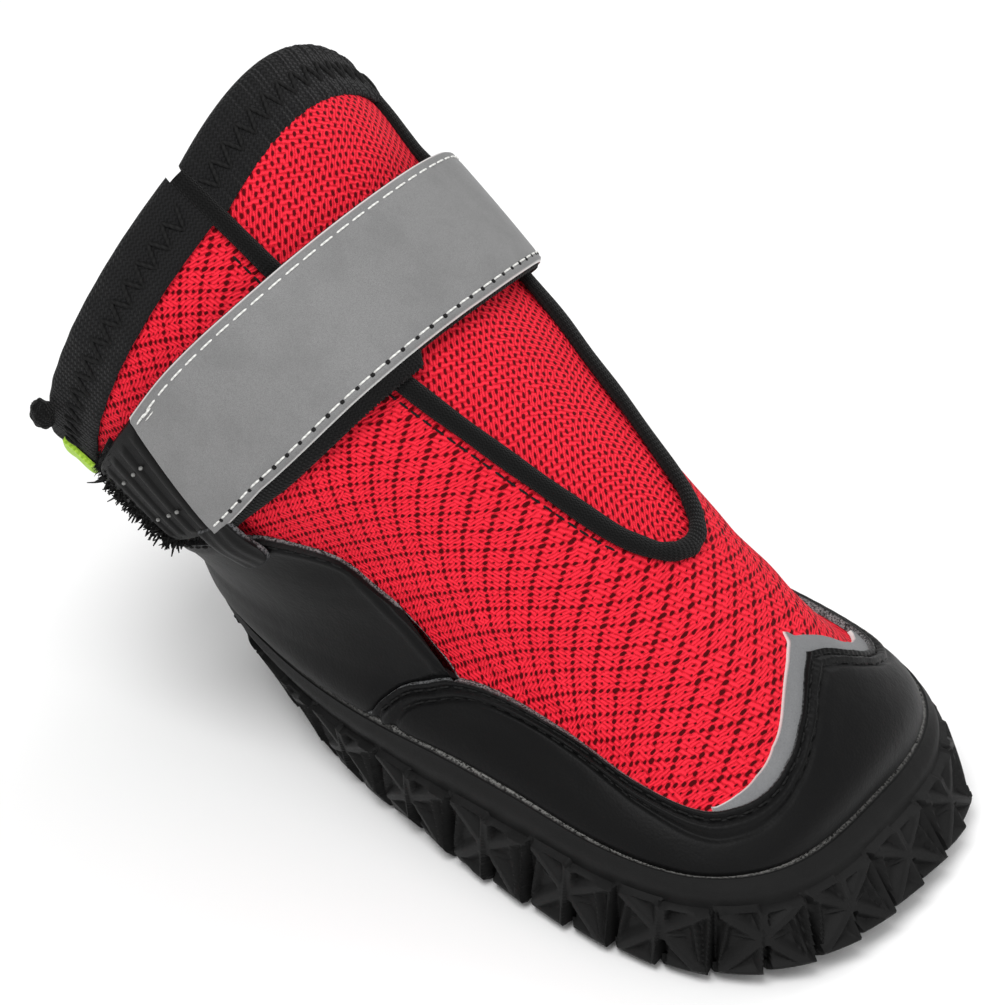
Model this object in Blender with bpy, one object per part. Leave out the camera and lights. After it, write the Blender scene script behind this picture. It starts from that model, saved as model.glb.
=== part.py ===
"""Dog boot: a moulded rubber cup sole, a mesh upper and the pieces sewn on it.

Metres, +Z up, +X to the toe and +Y to the boot's left. The origin is on the floor, under the
middle of the boot's box. The upper is one curved surface, last_point(around, along). "around"
is an angle in radians, 0 over the front and positive to the boot's right. "along" runs from 0
at the seat line, where the upper meets the sole, to 1 at the collar. Every piece sewn on the
boot is a patch of that surface, held between two heights above it.
"""

import bpy
import numpy as np

# Driving sizes of the last and the sole
FOOT_LENGTH = 0.107  # upper at the seat line, heel to toe
BALL_WIDTH = 0.062  # upper at its widest place
SEAT_HEIGHT = 0.014  # seat line above the floor
UPPER_HEIGHT = 0.085  # front of the collar above the seat line
TREAD_EXTRA = 0.001  # how much longer the tread is than the upper's seat line
SOLE_FLARE = 0.0025  # how far each side of the sole flares out past the upper
SOLE_LENGTH = FOOT_LENGTH + TREAD_EXTRA
SOLE_WIDTH = BALL_WIDTH + 2 * SOLE_FLARE
HEEL_TUCK = 0.0085  # how far the back of the tread lies ahead of the seat line's heel
HEEL_SPRING = 0.0075
HEEL_SPRING_RUN = 0.023
TOE_SPRING = 0.0025
TOE_SPRING_RUN = 0.025
ARCH_HEIGHT = 0.0008
SOLE_FLOOR = 0.0045  # rubber under the insole
FLOOR_FOLLOW = 0.8  # share of the heel's and toe's spring that the floor follows
CUP_WALL = 0.0024  # how far inside the seat line the hollow for the insole starts
RIM_WIDTH = 0.0013  # rubber lip that wraps the foot of the upper
LUG_STEP = 0.0013  # how far the lugs stand out from the rim band
LUG_RELIEF = 0.0018  # depth of the grooves between lugs
LUG_COUNT = 38
LUG_PHASES = (0.0, 0.62, 0.81)  # of each lug's pitch: its start, its end and the groove's middle
TREAD_SQUARES = (2.7, 2.0)  # powers of the tread's superellipse, in front and behind
TREAD_TAPER = 0.34  # widens the front of the tread and narrows its back
TREAD_HALF = 0.442  # half of the tapered outline, as a share of SOLE_WIDTH
ARCH_START = 0.08  # from the end of the heel's spring, as a share of SOLE_LENGTH
ARCH_RUN = 0.16  # length of the arch, as a share of SOLE_LENGTH
SPRING_POWER = 1.8  # how the springs of heel and toe steepen toward their ends
TREAD_BEVEL = 0.0014  # how far the tread's edge is rounded up, all round
HEEL_BEVEL = 0.0024  # added to that at the sides of the heel

# Thicknesses and widths
UPPER_WALL = 0.0020
TONGUE_WALL = 0.0016
LEATHERETTE = 0.0010
TRIM_THICKNESS = 0.0005
KNIT_THICKNESS = 0.0009
BAND_WIDTH = 0.0078
BINDING_WIDTH = 0.0029
BINDING_THICKNESS = 0.0013
LOOP_THICKNESS = 0.0011
WEBBING_THICKNESS = 0.0006
TAPE_THICKNESS = 0.0005
TIP_THICKNESS = 0.0014
TAG_THICKNESS = 0.0009  # a ribbon folded double
INSOLE_THICKNESS = 0.0030
KNOB_RADIUS = 0.0021
TONGUE_SINK = 0.1  # of the upper's wall: how far the tongue's face lies below the upper's
TONGUE_DIP = 0.014  # how far the tongue's edge at the collar drops at its sides, in "along"
TONGUE_TIP_HALF = 0.04  # half of the tongue's lower end, in radians
BEAD_FLANK = 0.35  # of the binding's thickness: height of its straight flanks
TIP_RIBS = 3
TIP_RIB_SHARE = 0.35  # of the strap tip's thickness: how far its ribs stand up
TIP_CORNER = 0.16  # of the strap's width: how far the tip's far corners are rounded in
TIP_CORNER_START = 0.6  # of the tip's length, where that rounding starts
CLEARANCE = 0.0003  # between touching pieces
INSOLE_PLAY = 0.0010  # round the insole's edge
TONGUE_GAP = 1.3 * CLEARANCE  # between the tongue's side and the throat's arm

# Heights above the upper's outer face at which each sewn layer starts
ON_UPPER = CLEARANCE
STRAP_SEAT = ON_UPPER + BINDING_THICKNESS + CLEARANCE
TAPE_SEAT = STRAP_SEAT + WEBBING_THICKNESS + CLEARANCE

# One row for each section of the last, from the seat line up to the collar. The front and back
# points of a section lie on the boot's middle plane, "reach" as a share of FOOT_LENGTH from the
# heel and "rise" as a share of UPPER_HEIGHT from the seat line. "half_width" is a share of
# BALL_WIDTH, "taper" widens the front of the section and narrows its back, and the two
# "square" columns are the powers of the section's superellipse: 2 is round, more is squarer.
LAST_COLUMNS = (
    "front_reach", "front_rise", "back_reach", "back_rise",
    "half_width", "taper", "front_square", "back_square",
)
LAST_SECTIONS = np.array([
    (1.000, 0.000, 0.000, 0.000, 0.408, 0.48, 3.20, 2.40),  # seat line
    (0.994, 0.075, -0.004, 0.036, 0.425, 0.24, 2.70, 2.20),  # toe wall and heel counter
    (0.913, 0.180, -0.019, 0.073, 0.385, 0.07, 2.45, 2.10),  # top of the toe box
    (0.776, 0.318, -0.028, 0.098, 0.375, 0.02, 2.30, 2.10),  # vamp
    (0.612, 0.474, -0.034, 0.122, 0.410, -0.02, 2.20, 2.00),  # instep
    (0.430, 0.638, -0.047, 0.153, 0.480, -0.01, 2.10, 2.00),  # throat
    (0.252, 0.803, -0.088, 0.206, 0.514, 0.00, 2.00, 2.00),  # strap
    (0.069, 1.000, -0.140, 0.259, 0.530, -0.10, 1.90, 2.00),  # collar
])

# Half of the throat's U: "along", then the angle of its arm from the front in degrees
THROAT_ARM = np.array([
    (0.476, 0.0), (0.481, 7.0), (0.495, 13.0), (0.525, 19.0), (0.590, 24.5),
    (0.660, 28.0), (0.740, 31.0), (0.880, 35.0), (0.990, 40.0),
])
QUARTER_RIM = THROAT_ARM[-1, 0]  # "along" of the quarter's edge at the collar, all round the back

# Top of the sole's lip on the upper, higher at the waist: degrees from the front, "along"
LIP_EDGE = np.array([
    (0.0, 0.012), (45.0, 0.014), (60.0, 0.040), (74.0, 0.090), (90.0, 0.115),
    (108.0, 0.100), (130.0, 0.060), (180.0, 0.045),
])

# Upper edge of the toe's mudguard: degrees from the crest of its peak, then "along"
CAP_EDGE = np.array([
    (0.0, 0.322), (10.0, 0.304), (23.0, 0.262), (32.0, 0.222), (38.0, 0.194),
    (44.0, 0.176), (51.0, 0.172), (60.0, 0.215), (68.0, 0.283), (75.0, 0.328),
    (81.0, 0.333), (86.0, 0.309), (93.0, 0.262), (99.0, 0.190), (104.0, 0.090),
])
CAP_TURN = 10.0  # the peak is sewn this many degrees round to the left
CAP_LEAN = 8  # power that keeps that turn near the front on the left side

# Upper edge of the reflective trim beyond the mudguard, in the same two columns
TRIM_EDGE = np.array([
    (0.0, 0.346), (9.0, 0.330), (20.0, 0.302), (32.0, 0.251), (39.0, 0.217), (44.0, 0.194),
    (48.0, 0.177),
])

# Upper edge of the heel counter: degrees from the front, then "along"
COUNTER_EDGE = np.array([
    (78.0, 0.480), (81.0, 0.570), (86.0, 0.612), (92.0, 0.645), (105.0, 0.665), (180.0, 0.670),
])

# The strap: degrees from the front, then "along" of its lower and its upper edge
STRAP_EDGES = np.array([
    (-118.0, 0.690, 0.872), (-60.0, 0.728, 0.870), (0.0, 0.746, 0.872),
    (40.0, 0.742, 0.876), (75.0, 0.716, 0.882), (97.0, 0.685, 0.880),
])
END_SLANT = 9.0  # degrees by which the tape's cut end at the right starts earlier at its top
SLANT_START = 50.0  # degrees, where the tape's cross-threads start to lean that way
TIP_END = 124.0  # degrees, far end of the strap's moulded tip
KNOB_TURN = 110.0  # degrees, where the collar binding's end is bar-tacked
TAG_OFFSET = 11.0  # degrees from there to the tag's near edge
TAG_SPAN = 16.0  # degrees that the tag covers
LOOP_START = 104.0  # degrees from the front, where the loop fastener starts on each side

# Facets of the meshes
ARM_STEPS = 11
TONGUE_COLUMNS = 11
COLLAR_SECTIONS = 27
TONGUE_BAND_SECTIONS = 9
UPPER_ROWS = np.array([0.0, 0.05, 0.11, 0.18, 0.26, 0.35, 0.45, 0.56, 0.68, 0.80, 0.90, 1.0])
TOE_STEP = 6.0  # degrees a column, round the toe
BACK_STEP = 8.0  # degrees a column, round the heel
TOE_END = 76.0  # degrees from the front
FLOOR_RINGS = (0.60, 0.82, 1.0)  # shares of the outline of the hollow's floor

RUBBER = ("moulded_rubber", "1C1C1C", 0.62)
LEATHER = ("leatherette", "232323", 0.45)
KNIT = ("black_knit", "2A2B2B", 0.9)
MESH_RED = ("red_air_mesh", "DD2430", 0.85)
TONGUE_RED = ("red_fine_mesh", "D3202D", 0.85)
REFLECTIVE = ("reflective_tape", "8D8D8D", 0.5)
WEBBING = ("black_webbing", "181818", 0.85)
LIME = ("lime_ribbon", "B6E04A", 0.7)
FOAM = ("black_foam_board", "262626", 0.9)


def clear_scene():
    for thing in list(bpy.data.objects):
        bpy.data.objects.remove(thing)


def linear(hex_colour):
    """sRGB hex to linear red, green, blue and alpha."""
    parts = np.array([int(hex_colour[i : i + 2], 16) / 255 for i in (0, 2, 4)])
    low = parts / 12.92
    high = ((parts + 0.055) / 1.055) ** 2.4
    return (*np.where(parts <= 0.04045, low, high), 1.0)


def material_of(recipe):
    name, colour, roughness = recipe
    found = bpy.data.materials.get(name)
    if found:
        return found
    made = bpy.data.materials.new(name)
    made.use_nodes = True
    shader = made.node_tree.nodes["Principled BSDF"]
    shader.inputs["Base Color"].default_value = linear(colour)
    shader.inputs["Roughness"].default_value = roughness
    shader.inputs["Metallic"].default_value = 0.0
    made.diffuse_color = linear(colour)
    return made


def smooth_rows(table, position):
    """Rows of a table at fractional row numbers, on a Catmull-Rom curve through its rows."""
    last = len(table) - 1
    row = np.clip(np.floor(position).astype(int), 0, last - 1)
    f = (position - row)[..., None]
    padded = np.vstack([2 * table[0] - table[1], table, 2 * table[-1] - table[-2]])
    a, b, c, d = padded[row], padded[row + 1], padded[row + 2], padded[row + 3]
    return 0.5 * (2 * b + (c - a) * f + (2 * a - 5 * b + 4 * c - d) * f**2 + (3 * b - a - 3 * c + d) * f**3)


def smooth_edge(table, value, column=1):
    """A column of a table read against its first column, on a smooth curve through its rows."""
    position = np.interp(value, table[:, 0], np.arange(len(table)))
    return smooth_rows(table, np.asarray(position, float))[..., column]


def egg(around, front_square, back_square, taper):
    """Unit outline: a superellipse in polar form, with its width growing toward the front."""
    c = np.cos(around)
    s = np.sin(around)
    power = np.where(c > 0, front_square, back_square)
    radius = (np.abs(c) ** power + np.abs(s) ** power) ** (-1 / power)
    lengthwise = radius * c
    return lengthwise, radius * s * (1 + taper * lengthwise)


def last_point(around, along):
    """A section of the last at "along", turned round by the angle "around"."""
    around, along = np.broadcast_arrays(np.asarray(around, float), np.asarray(along, float))
    row = smooth_rows(LAST_SECTIONS, along * (len(LAST_SECTIONS) - 1))
    value = {name: row[..., i] for i, name in enumerate(LAST_COLUMNS)}
    lengthwise, sideways = egg(around, value["front_square"], value["back_square"], value["taper"])
    share = (1 + lengthwise) / 2
    reach = value["back_reach"] + (value["front_reach"] - value["back_reach"]) * share
    rise = value["back_rise"] + (value["front_rise"] - value["back_rise"]) * share
    return np.stack(
        [
            FOOT_LENGTH * reach,
            -BALL_WIDTH * value["half_width"] * sideways,
            SEAT_HEIGHT + UPPER_HEIGHT * rise,
        ],
        -1,
    )


def last_slopes(around, along, step=1e-3):
    """How the last's point moves for a unit of "around" and for a unit of "along"."""
    across = last_point(around + step, along) - last_point(around - step, along)
    up = last_point(around, along + step) - last_point(around, along - step)
    return across / (2 * step), up / (2 * step)


def raised(around, along, height):
    """The last's point moved out along its normal."""
    across, up = last_slopes(around, along)
    normal = np.cross(up, across)
    normal /= np.linalg.norm(normal, axis=-1, keepdims=True)
    return last_point(around, along) + normal * np.asarray(height)[..., None]


def along_of(length, around, along):
    """A real length up the last at a place, as a difference of "along"."""
    up = last_slopes(around, along)[1]
    return length / np.linalg.norm(up, axis=-1)


def around_of(length, around, along):
    """A real length round the last at a place, as an angle."""
    across = last_slopes(around, along)[0]
    return length / np.linalg.norm(across, axis=-1)


def throat_angle(along):
    return np.radians(smooth_edge(THROAT_ARM, along))


def lip_top(around):
    return smooth_edge(LIP_EDGE, np.degrees(np.abs(around)))


def above_lip(around):
    """Lower edge of what is sewn on the foot of the upper, clear of the sole's lip."""
    lip = lip_top(around)
    return lip + along_of(2 * CLEARANCE, around, lip)


def cap_angle(around):
    """Degrees from the crest of the mudguard's peak, which is sewn round to the left."""
    front = np.maximum(np.cos(around), 0)
    turn = CAP_TURN * np.where(np.asarray(around) < 0, front**CAP_LEAN, front)
    return np.abs(np.degrees(around) + turn)


def cap_top(around):
    return smooth_edge(CAP_EDGE, cap_angle(around))


def cap_upper(around):
    """The mudguard's edge, with a narrow strip left where its tails meet the lip."""
    floor = above_lip(around)
    return np.maximum(cap_top(around), floor + along_of(1.5 * LEATHERETTE, around, floor))


def counter_top(around):
    return smooth_edge(COUNTER_EDGE, np.degrees(np.abs(around)))


def ground(x):
    """Height of the tread: flat, raised a little at the arch, sprung at toe and heel."""
    heel_end = HEEL_TUCK + HEEL_SPRING_RUN
    toe_start = HEEL_TUCK + SOLE_LENGTH - TOE_SPRING_RUN
    heel = HEEL_SPRING * np.clip((heel_end - x) / HEEL_SPRING_RUN, 0, None) ** SPRING_POWER
    toe = TOE_SPRING * np.clip((x - toe_start) / TOE_SPRING_RUN, 0, None) ** SPRING_POWER
    middle = np.clip((x - heel_end - ARCH_START * SOLE_LENGTH) / (ARCH_RUN * SOLE_LENGTH), 0, 1)
    return heel + toe + ARCH_HEIGHT * np.sin(np.pi * middle) ** 2


def tread_outline(around, share=1.0):
    """Outline of the tread seen from above, shrunk to a share of itself."""
    lengthwise, sideways = egg(around, *TREAD_SQUARES, TREAD_TAPER)
    x = HEEL_TUCK + SOLE_LENGTH * (1 + share * lengthwise) / 2
    return x, -TREAD_HALF * SOLE_WIDTH * share * sideways


def seat_outline(around, outset=0.0):
    """The seat line seen from above, moved out square to itself."""
    step = 1e-3
    here = last_point(around, 0.0)
    run = last_point(around + step, 0.0) - last_point(around - step, 0.0)
    out = np.stack([-run[..., 1], run[..., 0]], -1)
    out /= np.linalg.norm(out, axis=-1, keepdims=True)
    return here[..., 0] + out[..., 0] * outset, here[..., 1] + out[..., 1] * outset, here[..., 2]


def add_mesh(name, points, faces, recipe, sharp_degrees=35):
    """A mesh object with outward faces, shaded smooth except at sharp edges."""
    points = np.asarray(points, float).reshape(-1, 3)
    volume = 0.0
    for face in faces:
        a = points[face[0]]
        for i in range(1, len(face) - 1):
            volume += np.dot(a, np.cross(points[face[i]], points[face[i + 1]]))
    if volume < 0:
        faces = [tuple(reversed(face)) for face in faces]
    mesh = bpy.data.meshes.new(name)
    mesh.from_pydata(points.tolist(), [], [tuple(int(i) for i in face) for face in faces])
    mesh.materials.append(material_of(recipe))
    mesh.shade_smooth()
    mesh.set_sharp_from_angle(angle=np.radians(sharp_degrees))
    thing = bpy.data.objects.new(name, mesh)
    bpy.context.scene.collection.objects.link(thing)
    return thing


def grid_faces(rows, columns, start=0, wrap=False):
    """Quads between neighbouring rows and columns of a grid."""
    last = columns if wrap else columns - 1
    return [
        (
            start + i * columns + j,
            start + i * columns + (j + 1) % columns,
            start + (i + 1) * columns + (j + 1) % columns,
            start + (i + 1) * columns + j,
        )
        for i in range(rows - 1)
        for j in range(last)
    ]


def shell(name, outer, inner, recipe, wrap=False):
    """A wall: two grids of the same size, joined by faces round their open edges."""
    rows, columns = outer.shape[:2]
    count = rows * columns
    faces = grid_faces(rows, columns, 0, wrap)
    faces += [tuple(reversed(face)) for face in grid_faces(rows, columns, count, wrap)]
    edge = [(0, j) for j in range(columns)]
    top = [(rows - 1, j) for j in range(columns)]
    rims = [edge, top[::-1]]
    if wrap:
        rims = [edge + edge[:1], top[::-1] + top[-1:]]
    else:
        rims += [[(i, columns - 1) for i in range(rows)], [(i, 0) for i in range(rows)][::-1]]
    for rim in rims:
        for (i, j), (k, m) in zip(rim, rim[1:]):
            here = i * columns + j
            there = k * columns + m
            faces.append((there, here, here + count, there + count))
    return add_mesh(name, np.concatenate([outer.reshape(-1, 3), inner.reshape(-1, 3)]), faces, recipe)


def patch(name, around, low_edge, high_edge, low, high, rows, recipe, crowd=1.0):
    """A patch of the last between two edges, from height "low" to height "high" above it.

    A "crowd" above 1 sets its rows closer together near the lower edge."""
    share = np.linspace(0, 1, rows + 1)[:, None] ** crowd
    along = low_edge + (high_edge - low_edge) * share
    angle = np.broadcast_to(around, along.shape)
    outer = raised(angle, along, np.full(along.shape, high))
    inner = raised(angle, along, np.full(along.shape, low))
    return shell(name, outer, inner, recipe)


def swept(name, rings, recipe, closed=False):
    """A solid whose cross-section rings follow one another, capped at the ends unless closed."""
    count, size = rings.shape[:2]
    faces = [
        (i * size + j, i * size + (j + 1) % size, k * size + (j + 1) % size, k * size + j)
        for i, k in zip(range(count), list(range(1, count)) + [0])
        if closed or k
        for j in range(size)
    ]
    if not closed:
        faces.append(tuple(range(size))[::-1])
        faces.append(tuple((count - 1) * size + j for j in range(size)))
    return add_mesh(name, rings, faces, recipe)


def even_columns(start, end, step_degrees):
    """Angles from start to end in degrees, evenly spaced, in radians."""
    count = max(2, int(round(abs(end - start) / step_degrees)) + 1)
    return np.radians(np.linspace(start, end, count))


def arm_samples():
    """The "along" and the angle of the throat's right arm, from the tip of the U to the collar."""
    position = np.linspace(0, len(THROAT_ARM) - 1, ARM_STEPS + 1)
    rows = smooth_rows(THROAT_ARM, position)
    return rows[:, 0], np.radians(rows[:, 1])


def build_upper():
    """One wall of mesh, open underneath, at the collar and at the U of the throat."""
    arm_along, arm_angle = arm_samples()
    toe = even_columns(np.degrees(arm_angle[-1]), TOE_END, TOE_STEP)[1:]
    heel = even_columns(TOE_END, 180.0, BACK_STEP)[1:]
    back = np.concatenate([toe, heel])
    half_angle = np.concatenate([arm_angle, back])
    half_top = np.concatenate([arm_along, np.full(len(back), QUARTER_RIM)])
    angle = np.concatenate([half_angle, -half_angle[-2:0:-1]])
    top = np.concatenate([half_top, half_top[-2:0:-1]])
    along = UPPER_ROWS[:, None] * top
    around = np.broadcast_to(angle, along.shape)
    outer = raised(around, along, np.zeros(along.shape))
    inner = raised(around, along, np.full(along.shape, -UPPER_WALL))
    inner[0, :, 2] = outer[0, :, 2]
    shell("upper", outer, inner, MESH_RED, wrap=True)


def tongue_top(angle):
    """The tongue's edge at the collar dips a little to each side."""
    return 1.0 - TONGUE_DIP * (angle / throat_angle(QUARTER_RIM)) ** 2


def build_tongue():
    """Finer mesh gusset that fills the U, level with the upper and a little thinner."""
    arm_along, arm_angle = arm_samples()
    tip_gap = along_of(CLEARANCE, 0.0, arm_along[0])
    along = arm_along + tip_gap
    side_gap = around_of(TONGUE_GAP, arm_angle, arm_along)
    half = arm_angle - side_gap
    keep = (half > TONGUE_TIP_HALF / 2) & (along < QUARTER_RIM)
    along = np.concatenate([[arm_along[0] + 1.5 * tip_gap], along[keep], [1.0]])
    half = np.concatenate([[TONGUE_TIP_HALF], half[keep], [throat_angle(1.0) - side_gap[-1]]])
    share = np.linspace(-1, 1, TONGUE_COLUMNS)
    around = half[:, None] * share
    along = np.broadcast_to(along[:, None], around.shape).copy()
    along[-1] = tongue_top(around[-1])
    face = -TONGUE_SINK * UPPER_WALL
    outer = raised(around, along, np.full(around.shape, face))
    inner = raised(around, along, np.full(around.shape, face - TONGUE_WALL))
    shell("tongue", outer, inner, TONGUE_RED)


def build_throat_binding():
    """Black binding over the joint of tongue and upper: a flat-bottomed bead along the U."""
    arm_along, arm_angle = arm_samples()
    angle = np.concatenate([-arm_angle[:0:-1], arm_angle])
    along = np.concatenate([arm_along[:0:-1], arm_along])
    middle = last_point(angle, along)
    across, up = last_slopes(angle, along)
    normal = np.cross(up, across)
    normal /= np.linalg.norm(normal, axis=-1, keepdims=True)
    run = np.gradient(middle, axis=0)
    side = np.cross(normal, run)
    side /= np.linalg.norm(side, axis=-1, keepdims=True)
    turn = np.radians(np.array([0, 45, 90, 135, 180]))
    offset = BINDING_WIDTH / 2 * np.cos(turn)
    height = ON_UPPER + BINDING_THICKNESS * (BEAD_FLANK + (1 - BEAD_FLANK) * np.sin(turn))
    offset = np.concatenate([[offset[0]], offset, [offset[-1]]])
    height = np.concatenate([[ON_UPPER], height, [ON_UPPER]])
    rings = (
        middle[:, None]
        + side[:, None] * offset[None, :, None]
        + normal[:, None] * height[None, :, None]
    )
    swept("throat_binding", rings, WEBBING)


def band_rings(share, rim, start_at, end_at):
    """Cross-sections of a knitted band folded over the collar's edge, outside and inside.

    "share" runs from the band's start to its end, whose angles may differ with "along"."""
    rim_angle = start_at(rim) + (end_at(rim) - start_at(rim)) * share
    outer_face = ON_UPPER + KNIT_THICKNESS
    inner_face = -UPPER_WALL - CLEARANCE
    low = rim - along_of(BAND_WIDTH, rim_angle, rim)
    seat = rim + along_of(CLEARANCE, rim_angle, rim)
    crest = rim + along_of(CLEARANCE + KNIT_THICKNESS, rim_angle, rim)
    corners = [
        (outer_face, low),
        (outer_face, (low + rim) / 2),
        (outer_face, seat),
        (outer_face - 0.5 * KNIT_THICKNESS, crest),
        (inner_face - 0.5 * KNIT_THICKNESS, crest),
        (inner_face - KNIT_THICKNESS, seat),
        (inner_face - KNIT_THICKNESS, low),
        (inner_face, low),
        (inner_face, seat),
        (ON_UPPER, seat),
        (ON_UPPER, low),
    ]
    rings = []
    for height, along in corners:
        start = start_at(along)
        around = start + (end_at(along) - start) * share
        rings.append(raised(around, along, np.full(along.shape, height)))
    return np.stack(rings, 1)


def build_collar_bands():
    """The quarter's band from arm to arm round the back, and the tongue's band in front."""

    def beside(along):
        angle = throat_angle(along)
        return around_of(BINDING_WIDTH / 2 + CLEARANCE, angle, along)

    def quarter_start(along):
        return throat_angle(along) + beside(along)

    def quarter_end(along):
        return 2 * np.pi - quarter_start(along)

    def tongue_end(along):
        return throat_angle(along) - beside(along)

    def tongue_start(along):
        return -tongue_end(along)

    share = np.linspace(0, 1, COLLAR_SECTIONS)
    rim = np.full(len(share), QUARTER_RIM)
    swept("collar_band", band_rings(share, rim, quarter_start, quarter_end), KNIT)
    share = np.linspace(0, 1, TONGUE_BAND_SECTIONS)
    rim = tongue_top(tongue_start(1.0) + (tongue_end(1.0) - tongue_start(1.0)) * share)
    swept("tongue_band", band_rings(share, rim, tongue_start, tongue_end), KNIT)


def build_toe_cap():
    """Leatherette mudguard from waist to waist, with a peak over the toe."""
    end = CAP_EDGE[-1, 0]
    around = even_columns(-end, end, 4.5)
    patch(
        "toe_cap", around, above_lip(around), cap_upper(around), ON_UPPER, ON_UPPER + LEATHERETTE, 5, LEATHER
    )


def build_toe_trim():
    """Reflective strip that shows above the mudguard's peak."""
    end = TRIM_EDGE[-1, 0]
    around = even_columns(-end, end - CAP_TURN * np.cos(np.radians(end)), 4.0)
    low = cap_top(around) + along_of(2 * CLEARANCE, around, cap_top(around))
    high = smooth_edge(TRIM_EDGE, cap_angle(around))
    high = np.maximum(high, low + along_of(TRIM_THICKNESS, around, low))
    patch("toe_trim", around, low, high, ON_UPPER, ON_UPPER + TRIM_THICKNESS, 1, REFLECTIVE)


def build_heel_counter():
    """Leatherette round the heel, from the mudguard's tails up to its curved edge."""
    heel = even_columns(TOE_END, 180.0, BACK_STEP)[2:]
    edge = np.linspace(np.radians(COUNTER_EDGE[0, 0]), heel[0], 7)[:-1]
    half = np.concatenate([edge, heel])
    around = np.concatenate([half, 2 * np.pi - half[-2::-1]])
    folded = np.where(around > np.pi, 2 * np.pi - around, around)
    tail = np.radians(CAP_EDGE[-1, 0])
    past_tail = folded > tail + np.radians(BACK_STEP)
    seam = np.maximum(cap_upper(folded), cap_upper(-folded))
    over_seam = seam + along_of(1.5 * CLEARANCE, folded, seam)
    low = np.where(past_tail, above_lip(folded), np.maximum(over_seam, above_lip(folded)))
    seat = 1.5 * ON_UPPER
    patch("heel_counter", around, low, counter_top(folded), seat, seat + LEATHERETTE, 6, LEATHER, 1.4)


def strap_edges(around):
    degrees = np.degrees(around)
    return smooth_edge(STRAP_EDGES, degrees, 1), smooth_edge(STRAP_EDGES, degrees, 2)


def leaning(around, share, start):
    """Angles of the rows across the strap, which lean toward its slanted cut end."""
    lean = np.clip((np.degrees(around) - start) / (STRAP_EDGES[-1, 0] - start), 0, 1)
    return around - np.radians(END_SLANT) * lean * share


def build_strap():
    """Grey reflective tape sewn on black webbing, over the throat from the left to the right."""
    rows = 2
    first = STRAP_EDGES[0, 0]
    last = STRAP_EDGES[-1, 0]
    around = even_columns(first, last, 8.0)
    low, high = strap_edges(around)
    angle = leaning(around, np.linspace(0, 1, rows + 1)[:, None], SLANT_START)
    patch("strap", angle, low, high, TAPE_SEAT, TAPE_SEAT + TAPE_THICKNESS, rows, REFLECTIVE)
    below = along_of(2 * WEBBING_THICKNESS, around, low)
    patch(
        "strap_backing", angle, low - below, high, STRAP_SEAT, STRAP_SEAT + WEBBING_THICKNESS, rows, WEBBING
    )


def build_strap_tip():
    """Moulded end of the strap, with three ribs across it and rounded corners."""
    start = STRAP_EDGES[-1, 0]
    gap = np.degrees(around_of(1.5 * CLEARANCE, np.radians(start), 0.8))
    around = even_columns(start + gap, TIP_END, 1.7)
    low, high = strap_edges(np.minimum(around, np.radians(start)))
    travel = (around - around[0]) / (around[-1] - around[0])
    turning = np.clip((travel - TIP_CORNER_START) / (1 - TIP_CORNER_START), 0, 1)
    corner = TIP_CORNER * (high - low) * turning**2
    rib = TIP_THICKNESS * TIP_RIB_SHARE * np.clip(np.sin(2 * np.pi * TIP_RIBS * travel), 0, 1)
    share = np.linspace(0, 1, 5)[:, None]
    along = low + corner + (high - low - 2 * corner) * share
    angle = around - np.radians(END_SLANT) * (1 - travel) * share
    height = np.broadcast_to(STRAP_SEAT + TIP_THICKNESS * (1 - TIP_RIB_SHARE) + rib, along.shape)
    outer = raised(angle, along, height)
    inner = raised(angle, along, np.full(along.shape, STRAP_SEAT))
    shell("strap_tip", outer, inner, WEBBING)


def build_loop_patch():
    """Loop fastener round the back of the shaft, under the strap's end."""
    around = even_columns(LOOP_START, 360.0 - LOOP_START, 6.0)
    folded = np.where(around > np.pi, 2 * np.pi - around, around)
    low = counter_top(folded) + along_of(CLEARANCE, folded, counter_top(folded))
    band_low = QUARTER_RIM - along_of(BAND_WIDTH + CLEARANCE, around, QUARTER_RIM)
    high = np.minimum(STRAP_EDGES[-1, 2], band_low)
    patch("loop_patch", around, low, high, ON_UPPER, ON_UPPER + LOOP_THICKNESS, 2, WEBBING)


def build_back_tag():
    """Plain ribbon folded flat on the collar's band, from below the knob to above the strap's tip."""
    around = even_columns(KNOB_TURN + TAG_OFFSET, KNOB_TURN + TAG_OFFSET + TAG_SPAN, 5.0)
    rim = np.full(len(around), QUARTER_RIM)
    high = rim - along_of(KNOB_RADIUS + CLEARANCE, around, rim)
    strap_edge = np.full(len(around), STRAP_EDGES[-1, 2])
    low = strap_edge + along_of(3 * CLEARANCE, around, strap_edge)
    seat = ON_UPPER + max(KNIT_THICKNESS, LOOP_THICKNESS) + CLEARANCE
    patch("back_tag", around, low, high, seat, seat + TAG_THICKNESS, 2, LIME)


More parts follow.
